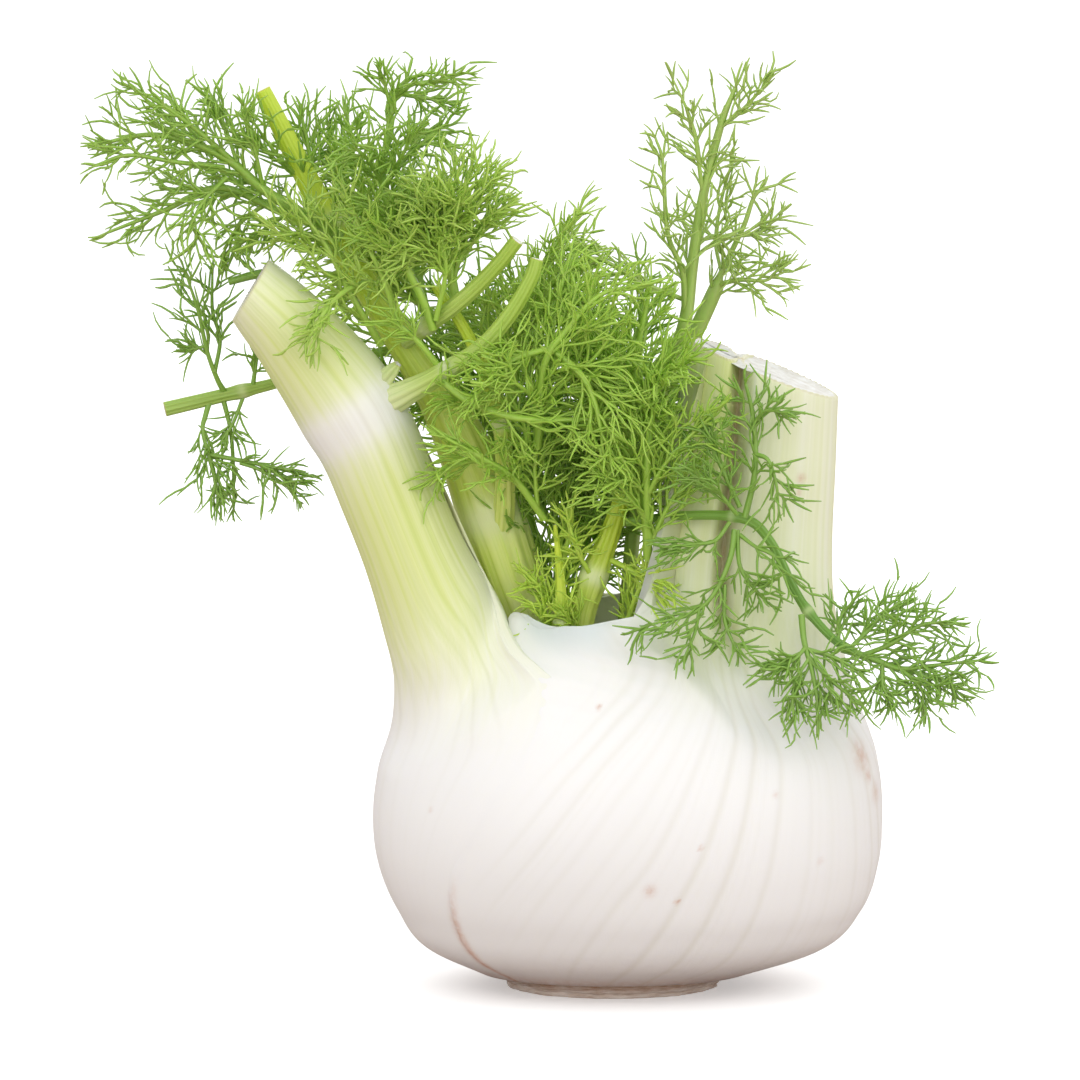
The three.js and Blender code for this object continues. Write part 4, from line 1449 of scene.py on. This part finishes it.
# each frond: its look, extra leaves for a thick mass, and leaves of
# (longest side branch, pairs, share where they start, route of (x, y, z, radius))
frondPieces = {
    "far_left_frond": {"look": "deep", "open": 1.3, "copies": 0, "leaves": [
        (8, 8, 0.3, [
            (-53.5, -1.5, 151.5, 1.2), (-62.5, -1.5, 156.5, 1.1), (-70, -2, 161.5, 1),
            (-75.5, -3, 166.5, 0.9), (-83.5, -4, 170.5, 0.7), (-92.5, -4, 172, 0.5),
            (-104, -4, 169.5, 0.3),
        ]),
        (6, 5, 0.25, [
            (-75, -3, 166.5, 0.6), (-81.5, -6, 172.5, 0.5), (-88.5, -8, 178, 0.4),
            (-95.5, -8, 182, 0.3),
        ]),
        (5, 4, 0.25, [(-74.5, -3, 166.5, 0.5), (-77, 0, 173.5, 0.45), (-80, 2, 180, 0.3)]),
        (4.5, 3, 0.3, [(-69.5, -2, 162, 0.5), (-71, -5, 170, 0.4), (-73, -6, 178, 0.3)]),
        (6, 4, 0.25, [
            (-77, -3, 165.5, 0.5), (-86.5, -8, 167, 0.45), (-95.5, -10, 168.5, 0.4),
            (-102, -10, 166.5, 0.3),
        ]),
        (5, 4, 0.25, [
            (-76.5, -3, 163.5, 0.5), (-81, -7, 159, 0.4), (-83, -9, 154.5, 0.35),
            (-81, -9, 150.5, 0.25),
        ]),
        (5, 4, 0.25, [(-79.5, -3, 167.5, 0.5), (-84.5, 5, 171.5, 0.45), (-89.5, 9, 174.5, 0.3)]),
    ]},
    "left_low_frond": {"look": "deep", "open": 1.4, "copies": 0, "leaves": [
        (7, 7, 0.3, [
            (-55, 1, 153, 0.8), (-65.5, 1.5, 156, 0.8), (-78, 2, 161, 0.7), (-89, 2, 156.5, 0.5),
            (-100.5, 2, 152, 0.3),
        ]),
        (5, 4, 0.25, [(-69.5, 2, 157.5, 0.5), (-75, 6, 152.5, 0.4), (-77, 7, 145.5, 0.25)]),
        (5, 4, 0.25, [(-64.5, 1, 156, 0.5), (-70, -4, 152.5, 0.4), (-72.5, -5, 150, 0.3)]),
        (5, 4, 0.25, [(-73.5, 2, 159.5, 0.5), (-81.5, 8, 160, 0.45), (-89, 10, 161.5, 0.3)]),
        (5.5, 4, 0.2, [(-62.5, 1, 155.5, 0.5), (-68.5, 8, 160, 0.4), (-75.5, 12, 161.5, 0.3)]),
    ]},
    "long_stalk_frond": {"look": "deep", "open": 1.3, "copies": 0, "leaves": [
        (9, 4, 0.2, [
            (-58, 8, 159, 0.6), (-60, 9, 165, 0.6), (-61, 10, 170, 0.5), (-62, 10, 174.5, 0.3),
        ]),
        (8, 4, 0.2, [
            (-56.5, 7, 157, 0.6), (-53.5, 8, 164, 0.5), (-52, 8, 170, 0.4), (-53, 8, 174.5, 0.3),
        ]),
        (8, 4, 0.2, [
            (-59, 8, 160, 0.5), (-64.5, 3, 165, 0.5), (-68, 0, 169.5, 0.4), (-71, -1, 174, 0.3),
        ]),
        (7, 4, 0.2, [(-62.5, 8, 164, 0.5), (-56.5, 14, 167.5, 0.4), (-52.5, 17, 171, 0.3)]),
    ]},
    "crown_frond": {"look": "deep", "open": 1.6, "copies": 0, "leaves": [
        (6, 5, 0.55, [
            (-37, -4, 136, 1.1), (-39.5, -3, 146.5, 1.1), (-45.5, -2, 161.5, 0.9),
            (-44.5, -1.5, 171.5, 0.8), (-43.5, -1.5, 178, 0.6), (-41, -1.5, 182.5, 0.5),
            (-36.5, -1.5, 184, 0.3),
        ]),
        (3, 4, 0.3, [
            (-43, -1.5, 179.5, 0.5), (-39.5, -4, 182, 0.4), (-34.5, -6, 183, 0.35),
            (-29, -7, 184.5, 0.25),
        ]),
        (3, 4, 0.3, [(-42.5, -1.5, 180, 0.5), (-38.5, 2, 179, 0.4), (-32.5, 3, 178, 0.25)]),
        (3, 3, 0.3, [(-44, -1.5, 177, 0.5), (-45, -3, 181.5, 0.4), (-46, -4, 185, 0.25)]),
        (6.5, 5, 0.2, [(-45, -2, 161, 0.6), (-48.5, -8, 167.5, 0.5), (-52, -12, 171, 0.3)]),
        (6.5, 5, 0.2, [(-45, -2, 161.5, 0.6), (-41.5, -8, 168.5, 0.5), (-39, -10, 173, 0.3)]),
        (6, 5, 0.25, [(-44, -1.5, 169.5, 0.5), (-38.5, 4, 171, 0.45), (-33, 6, 171.5, 0.3)]),
        (6, 5, 0.25, [(-41, -3, 149, 0.6), (-43.5, -10, 155.5, 0.5), (-48, -14, 160, 0.3)]),
        (6, 5, 0.25, [(-40, -3, 148, 0.6), (-36.5, -9, 155, 0.5), (-34.5, -12, 161.5, 0.3)]),
    ]},
    "upper_left_frond": {"look": "airy", "open": 1.15, "copies": 6, "leaves": [
        (14, 7, 0.15, [
            (-37.5, 9, 135.5, 1.1), (-44, 12, 147.5, 0.9), (-50, 13, 156, 0.7), (-56, 13, 164, 0.4),
        ]),
        (9, 6, 0.2, [
            (-46, -3, 130, 0.9), (-52, -8, 141, 0.7), (-57, -9, 151, 0.5), (-63, -9, 159, 0.3),
        ]),
        (9, 6, 0.2, [
            (-42, -5, 132, 0.9), (-45, -10, 143, 0.7), (-49, -12, 152, 0.5), (-53, -12, 162, 0.3),
        ]),
        (6, 4, 0.4, [
            (-49, -6, 143, 0.7), (-54, -13, 141, 0.6), (-58, -18, 136, 0.5), (-59, -19.5, 131, 0.3),
        ]),
        (9, 5, 0.2, [(-52, -2, 147, 0.7), (-60, -6, 152, 0.6), (-66, -8, 153, 0.3)]),
    ]},
    "upper_middle_frond": {"look": "airy", "open": 1.15, "copies": 6, "leaves": [
        (13, 7, 0.25, [
            (-31, -8, 139, 1), (-32.5, -8.5, 150.5, 0.9), (-30, -8.5, 159.5, 0.7),
            (-28, -8.5, 166, 0.4),
        ]),
    ]},
    "upper_right_frond": {"look": "airy", "open": 1.15, "copies": 6, "leaves": [
        (13, 7, 0.2, [
            (-20, 3, 117.5, 1.1), (-18.5, 3, 132.5, 1), (-13, 3, 146, 0.7), (-6.5, 3, 156.5, 0.4),
        ]),
    ]},
    "centre_frond": {"look": "mid", "open": 1.3, "copies": 4, "leaves": [
        (12, 6, 0.2, [
            (-15, -12, 110.5, 1), (-13.5, -18, 127.5, 0.9), (-8.5, -20, 135.5, 0.7),
            (-2.5, -21, 142, 0.5), (5.5, -22, 144, 0.3),
        ]),
        (11, 6, 0.2, [
            (-12.5, -18, 131.5, 0.8), (-5.5, -21, 125, 0.7), (-2.5, -22, 116, 0.5),
            (-2, -22, 107.5, 0.3),
        ]),
        (10, 5, 0.2, [(-13, -18, 131, 0.7), (-20.5, -20, 128.5, 0.6), (-26.5, -21, 122.5, 0.4)]),
        (9, 4, 0.4, [
            (-34.5, -14, 125, 1), (-28.5, -17, 120.5, 0.9), (-19.5, -19, 117.5, 0.8),
            (-10.5, -19, 117, 0.6), (0, -20, 117.5, 0.4),
        ]),
        (4, 3, 0.5, [(-34.5, -13, 127, 0.7), (-38.5, -14, 132, 0.6), (-43, -14, 136, 0.4)]),
        (0, 0, 0, [(-35.5, -11, 134, 0.9), (-37.5, -12, 140, 0.9), (-40.5, -12, 146, 0.9)]),
        (7, 4, 0.3, [(-39.5, -12, 145, 0.6), (-43, -13, 150, 0.5), (-47, -14, 153.5, 0.4)]),
        (7, 4, 0.3, [(-35, -12, 136, 0.7), (-33, -14, 146, 0.6), (-34, -15, 154, 0.4)]),
    ]},
    "centre_back_frond": {"look": "deep", "open": 1.1, "copies": 8, "leaves": [
        (14, 8, 0.3, [(-10.5, 9, 69, 1.4), (-10, 11, 89, 1.3), (-6, 12, 113, 1), (-2.5, 13, 133, 0.4)]),
    ]},
    "lower_left_frond": {"look": "mid", "open": 1.3, "copies": 1, "leaves": [
        (7, 5, 0.3, [
            (-13.5, -9, 96, 0.9), (-19.5, -13, 104.5, 0.8), (-26.5, -17, 109.5, 0.6),
            (-33, -19, 113.5, 0.4),
        ]),
        (6, 4, 0.3, [(-23, -7, 115.5, 0.7), (-28.5, -12, 120, 0.6), (-34.5, -16, 121.5, 0.4)]),
        (6, 4, 0.3, [
            (-21, -7, 104, 0.6), (-26, -12, 108, 0.5), (-31.5, -14, 107, 0.4), (-37, -15, 104, 0.3),
        ]),
        (6, 4, 0.3, [
            (-20, -7, 106, 0.6), (-17, -13, 112, 0.5), (-19, -15, 119, 0.4), (-23, -16, 125, 0.3),
        ]),
    ]},
    "heart_frond": {"look": "bright", "open": 1.2, "copies": 1, "leaves": [
        (5, 6, 0.25, [(-9, -5, 70, 0.8), (-10, -7, 79, 0.7), (-9.5, -8, 88, 0.6), (-8, -9, 95, 0.4)]),
        (3.5, 4, 0.2, [(-11.5, -6, 70, 0.6), (-13, -9, 75.5, 0.5), (-14, -10, 80.5, 0.3)]),
        (5, 4, 0.25, [(-0.5, -7, 87.5, 0.7), (5, -11, 85, 0.6), (9, -14, 81, 0.4)]),
        (5, 5, 0.2, [(2, -6, 72, 0.7), (4.5, -10, 80, 0.6), (7.5, -12, 87, 0.4)]),
        (4, 3, 0.3, [(-7, -7, 71, 0.6), (-8, -11, 75, 0.5), (-10, -13, 78.5, 0.3)]),
        (4, 3, 0.3, [(-4, -8, 84, 0.6), (-7, -11, 90, 0.5), (-9, -12, 97, 0.3)]),
    ]},
    "heart_stalk_frond": {"look": "mid", "open": 1.2, "copies": 6, "leaves": [
        (12, 7, 0.15, [
            (3, -6, 105.5, 1.1), (4, -8.5, 119, 0.9), (5, -9.5, 130, 0.7), (7.5, -10, 142.5, 0.4),
        ]),
    ]},
    "right_front_frond": {"look": "mid", "open": 1.2, "copies": 5, "leaves": [
        (10, 7, 0.25, [
            (7, -14, 88.5, 1), (6.5, -19, 105.5, 0.9), (7.5, -19, 116.5, 0.7),
            (9.5, -18.5, 127.5, 0.4),
        ]),
    ]},
    "upright_frond": {"look": "sparse", "open": 2.3, "copies": 0, "leaves": [
        (10.5, 5, 0.66, [
            (2.5, 6.5, 69.5, 1.6), (5.5, 7, 101.5, 1.5), (10.5, 7, 122, 1.5), (14.5, 7, 133, 1.4),
            (16, 7, 144.5, 1.2), (18, 7, 158, 1), (21.5, 7, 172.5, 0.8), (24.5, 7, 180.5, 0.4),
        ]),
        (5.5, 5, 0.2, [
            (14.5, 7, 135, 0.6), (14, 4, 144, 0.6), (11, 2, 152, 0.5), (10, 2, 166, 0.35),
            (8.5, 2, 171, 0.25),
        ]),
        (5.5, 4, 0.2, [(18, 7, 160, 0.6), (16, 5, 173, 0.5), (12, 5, 182.5, 0.25)]),
        (5, 3, 0.25, [(21.5, 7, 172.5, 0.5), (26, 8, 176, 0.4), (31, 8, 181.5, 0.25)]),
        (5.5, 4, 0.25, [
            (14.5, 7, 138, 0.5), (5.5, 3, 142, 0.5), (-1.5, 0, 146.5, 0.4), (-6, -1, 147.5, 0.25),
        ]),
        (5, 3, 0.25, [(16, 7, 148, 0.4), (20.5, 10, 150.5, 0.4), (25.5, 11, 145, 0.25)]),
    ]},
    "upright_side_frond": {"look": "sparse", "open": 2.3, "copies": 0, "leaves": [
        (7.5, 4, 0.5, [
            (3.5, 15, 112.5, 1.7), (12, 15, 124, 1.7), (16, 15, 129, 1.7), (21, 15, 139.5, 1.5),
            (22, 15, 142.5, 0.6), (26.5, 15, 152, 0.5), (29, 15, 158.5, 0.4),
            (33.5, 15, 160.5, 0.25),
        ]),
        (6, 4, 0.25, [
            (21, 15, 140, 0.5), (25.5, 12, 141.5, 0.5), (31, 11, 141.5, 0.3), (33.5, 11, 144, 0.25),
        ]),
        (5, 3, 0.25, [(25.5, 15, 150, 0.4), (30, 18, 150.5, 0.35), (33.5, 19, 154, 0.25)]),
        (6, 4, 0.25, [
            (22, 15, 143, 0.4), (21, 19, 148.5, 0.4), (22, 21, 156, 0.35), (24, 21, 163.5, 0.25),
        ]),
    ]},
    "node_upper_frond": {"look": "plain", "open": 2.0, "copies": 0, "leaves": [
        (5.5, 4, 0.3, [
            (26, -21.5, 98, 0.7), (28, -21, 107.5, 0.6), (27.5, -20.5, 118, 0.5),
            (26, -20.5, 124.5, 0.3),
        ]),
        (4.5, 3, 0.3, [
            (28, -21, 110.5, 0.5), (30.5, -23, 109.5, 0.45), (32, -24, 105, 0.4),
            (32.5, -24, 100.5, 0.25),
        ]),
        (3.5, 3, 0.4, [(27.5, -20.5, 116.5, 0.4), (30.5, -22, 119.5, 0.35), (34, -22, 118.5, 0.25)]),
        (5.5, 5, 0.25, [
            (25, -21.5, 100, 0.5), (22, -21, 106.5, 0.5), (19.5, -21, 112, 0.4),
            (18, -21, 116.5, 0.3),
        ]),
        (5.5, 4, 0.25, [(24.5, -21.5, 98.5, 0.5), (20, -24, 104, 0.4), (15.5, -25, 107, 0.3)]),
    ]},
    "node_lower_frond": {"look": "plain", "open": 2.0, "copies": 0, "leaves": [
        (5.5, 5, 0.35, [
            (24, -21.5, 95.5, 0.7), (23, -23.5, 90, 0.6), (20, -25, 83.5, 0.5),
            (15.5, -26.5, 79.5, 0.4), (8.5, -28.5, 78, 0.3), (4, -29, 76.5, 0.25),
        ]),
        (3.5, 2, 0.3, [(17, -26, 80.5, 0.4), (16, -28.5, 76, 0.35), (14, -30, 71.5, 0.25)]),
        (4.5, 3, 0.4, [
            (24.5, -21.5, 95.5, 0.5), (25, -23, 88.5, 0.45), (28, -24, 84, 0.4),
            (30.5, -25, 81.5, 0.25),
        ]),
        (3.5, 3, 0.4, [(22, -24, 85, 0.4), (22, -26, 78, 0.4), (24.5, -28, 72, 0.25)]),
        (4.5, 4, 0.3, [
            (23, -21.5, 97, 0.5), (20, -23, 93.5, 0.45), (15.5, -24, 93, 0.4),
            (11, -25, 92.5, 0.25),
        ]),
        (3.5, 3, 0.3, [
            (25, -21.5, 94.5, 0.5), (28, -24, 92.5, 0.4), (32, -26, 90.5, 0.4),
            (34.5, -27, 84.5, 0.25),
        ]),
    ]},
    "hanging_frond": {"look": "plain", "open": 1.6, "copies": 0, "leaves": [
        (7, 6, 0.2, [
            (45, -26, 72.5, 0.8), (51, -26, 70.5, 0.7), (56.5, -26, 68.5, 0.6),
            (62.5, -25.5, 69, 0.4), (72, -25, 70, 0.25),
        ]),
        (5.5, 5, 0.25, [
            (46, -26, 72, 0.5), (50, -24, 75.5, 0.5), (53.5, -23, 79, 0.4), (57, -22, 80.5, 0.25),
        ]),
        (5.5, 5, 0.25, [
            (48.5, -26, 71, 0.5), (54.5, -27, 73.5, 0.5), (60.5, -28, 77.5, 0.4),
            (66.5, -28, 78, 0.25),
        ]),
        (5, 4, 0.25, [
            (56.5, -26, 68.5, 0.5), (59, -27, 66.5, 0.45), (61, -28, 64, 0.4),
            (60.5, -28, 61.5, 0.25),
        ]),
        (5, 4, 0.25, [(57.5, -25.5, 68, 0.5), (63, -23, 66.5, 0.4), (68.5, -22, 63, 0.25)]),
        (5, 4, 0.25, [(44, -26, 73.5, 0.5), (45, -22, 76, 0.4), (47.5, -20, 79, 0.3)]),
        (5, 4, 0.25, [(53, -26, 69.5, 0.5), (53, -28, 65.5, 0.4), (54, -29, 63.5, 0.25)]),
    ]},
    "hanging_lower_frond": {"look": "plain", "open": 1.8, "copies": 0, "leaves": [
        (6, 5, 0.3, [
            (37, -27.5, 79.5, 0.7), (37.5, -29.5, 74.5, 0.6), (39, -32, 69, 0.5),
            (40, -34, 63, 0.35), (40, -35, 60, 0.25),
        ]),
        (4.5, 4, 0.25, [(38, -30, 73.5, 0.5), (35, -32, 71, 0.45), (31, -33, 70, 0.25)]),
        (4.5, 4, 0.25, [(38.5, -31, 71.5, 0.5), (35.5, -33.5, 67, 0.4), (35, -35, 62.5, 0.25)]),
        (4.5, 4, 0.25, [(38.5, -31, 71.5, 0.5), (42.5, -33, 67.5, 0.45), (48, -34, 63, 0.25)]),
        (4.5, 4, 0.25, [(38, -30, 73, 0.5), (43, -30, 71.5, 0.45), (48, -30, 69, 0.25)]),
    ]},
    "twig_upper_frond": {"look": "plain", "open": 2.6, "copies": 0, "leaves": [
        (5.5, 4, 0.35, [
            (-77.5, 8.5, 119, 0.8), (-79, 6.5, 122, 0.7), (-81, 5, 128, 0.6),
            (-82.5, 4, 135.5, 0.5), (-84, 3.5, 140.5, 0.4), (-85.5, 3, 145, 0.25),
        ]),
        (4, 3, 0.3, [
            (-79.5, 5.5, 123.5, 0.5), (-78.5, 8, 130, 0.45), (-80, 9, 135.5, 0.4),
            (-80, 9, 143, 0.25),
        ]),
        (3, 2, 0.4, [(-81, 5, 129, 0.4), (-83, 5, 128.5, 0.3), (-84.5, 5, 128.5, 0.25)]),
        (3, 2, 0.4, [(-72, 9, 120.5, 0.5), (-71.5, 9, 124, 0.4), (-71, 9, 127, 0.25)]),
        (0, 0, 0, [(-66, 3, 144, 1), (-71, 3, 143.5, 0.9), (-76.5, 3, 142, 0.7)]),
    ]},
    "twig_lower_frond": {"look": "plain", "open": 2.4, "copies": 0, "leaves": [
        (6.5, 5, 0.3, [
            (-80.5, 8, 118, 0.8), (-81.5, 7, 114.5, 0.7), (-82, 6, 112, 0.6), (-81, 5, 107.5, 0.5),
            (-79, 4.5, 100, 0.4), (-78.5, 4, 97.5, 0.25),
        ]),
        (5, 4, 0.3, [
            (-80.5, 5, 107, 0.5), (-74.5, 4, 106, 0.45), (-69, 3, 105, 0.4), (-61, 3, 103, 0.25),
        ]),
        (4, 3, 0.3, [(-74.5, 4, 105.5, 0.4), (-70, 3, 104, 0.4), (-62.5, 2, 99.5, 0.25)]),
        (4, 3, 0.3, [
            (-78, 8.5, 118, 0.6), (-76.5, 8, 111.5, 0.45), (-76, 9, 103.5, 0.4),
            (-76, 9, 95.5, 0.25),
        ]),
        (3, 3, 0.3, [(-74, 8.5, 118, 0.5), (-76, 7, 113, 0.4), (-78, 6, 110, 0.3)]),
    ]},
    "back_left_frond": {"look": "deep", "open": 1.1, "copies": 7, "leaves": [
        (14, 8, 0.3, [
            (-12.5, 13.5, 78.5, 1.3), (-20.5, 17, 105.5, 1.2), (-29.5, 20, 131.5, 0.9),
            (-36.5, 22, 156, 0.4),
        ]),
    ]},
    "back_right_frond": {"look": "deep", "open": 1.1, "copies": 7, "leaves": [
        (14, 8, 0.3, [
            (-3, 14.5, 78.5, 1.3), (1, 18, 107, 1.2), (6, 22, 131.5, 0.9), (5.5, 25, 143.5, 0.4),
        ]),
    ]},
}


def makeFrond(node, spec, seed):
    spray = Spray(seed, spec["open"])
    for reach, pairs, first, route in spec["leaves"]:
        spray.leaf(route, reach, pairs, first)
    reach, pairs, _, route = spec["leaves"][0]
    for _ in range(spec["copies"]):
        spray.extraLeaf(route, reach, pairs)
    words = node.split("_")
    piece = spray.make(words[0] + "".join(word.title() for word in words[1:]), spec["look"])
    print(" ", node, len(spray.strands), "strands", len(piece.data.polygons), "faces")
    place(piece, "frond", node)


for seed, (node, spec) in enumerate(frondPieces.items()):
    makeFrond(node, spec, seed + firstSeed)
print("fronds made")
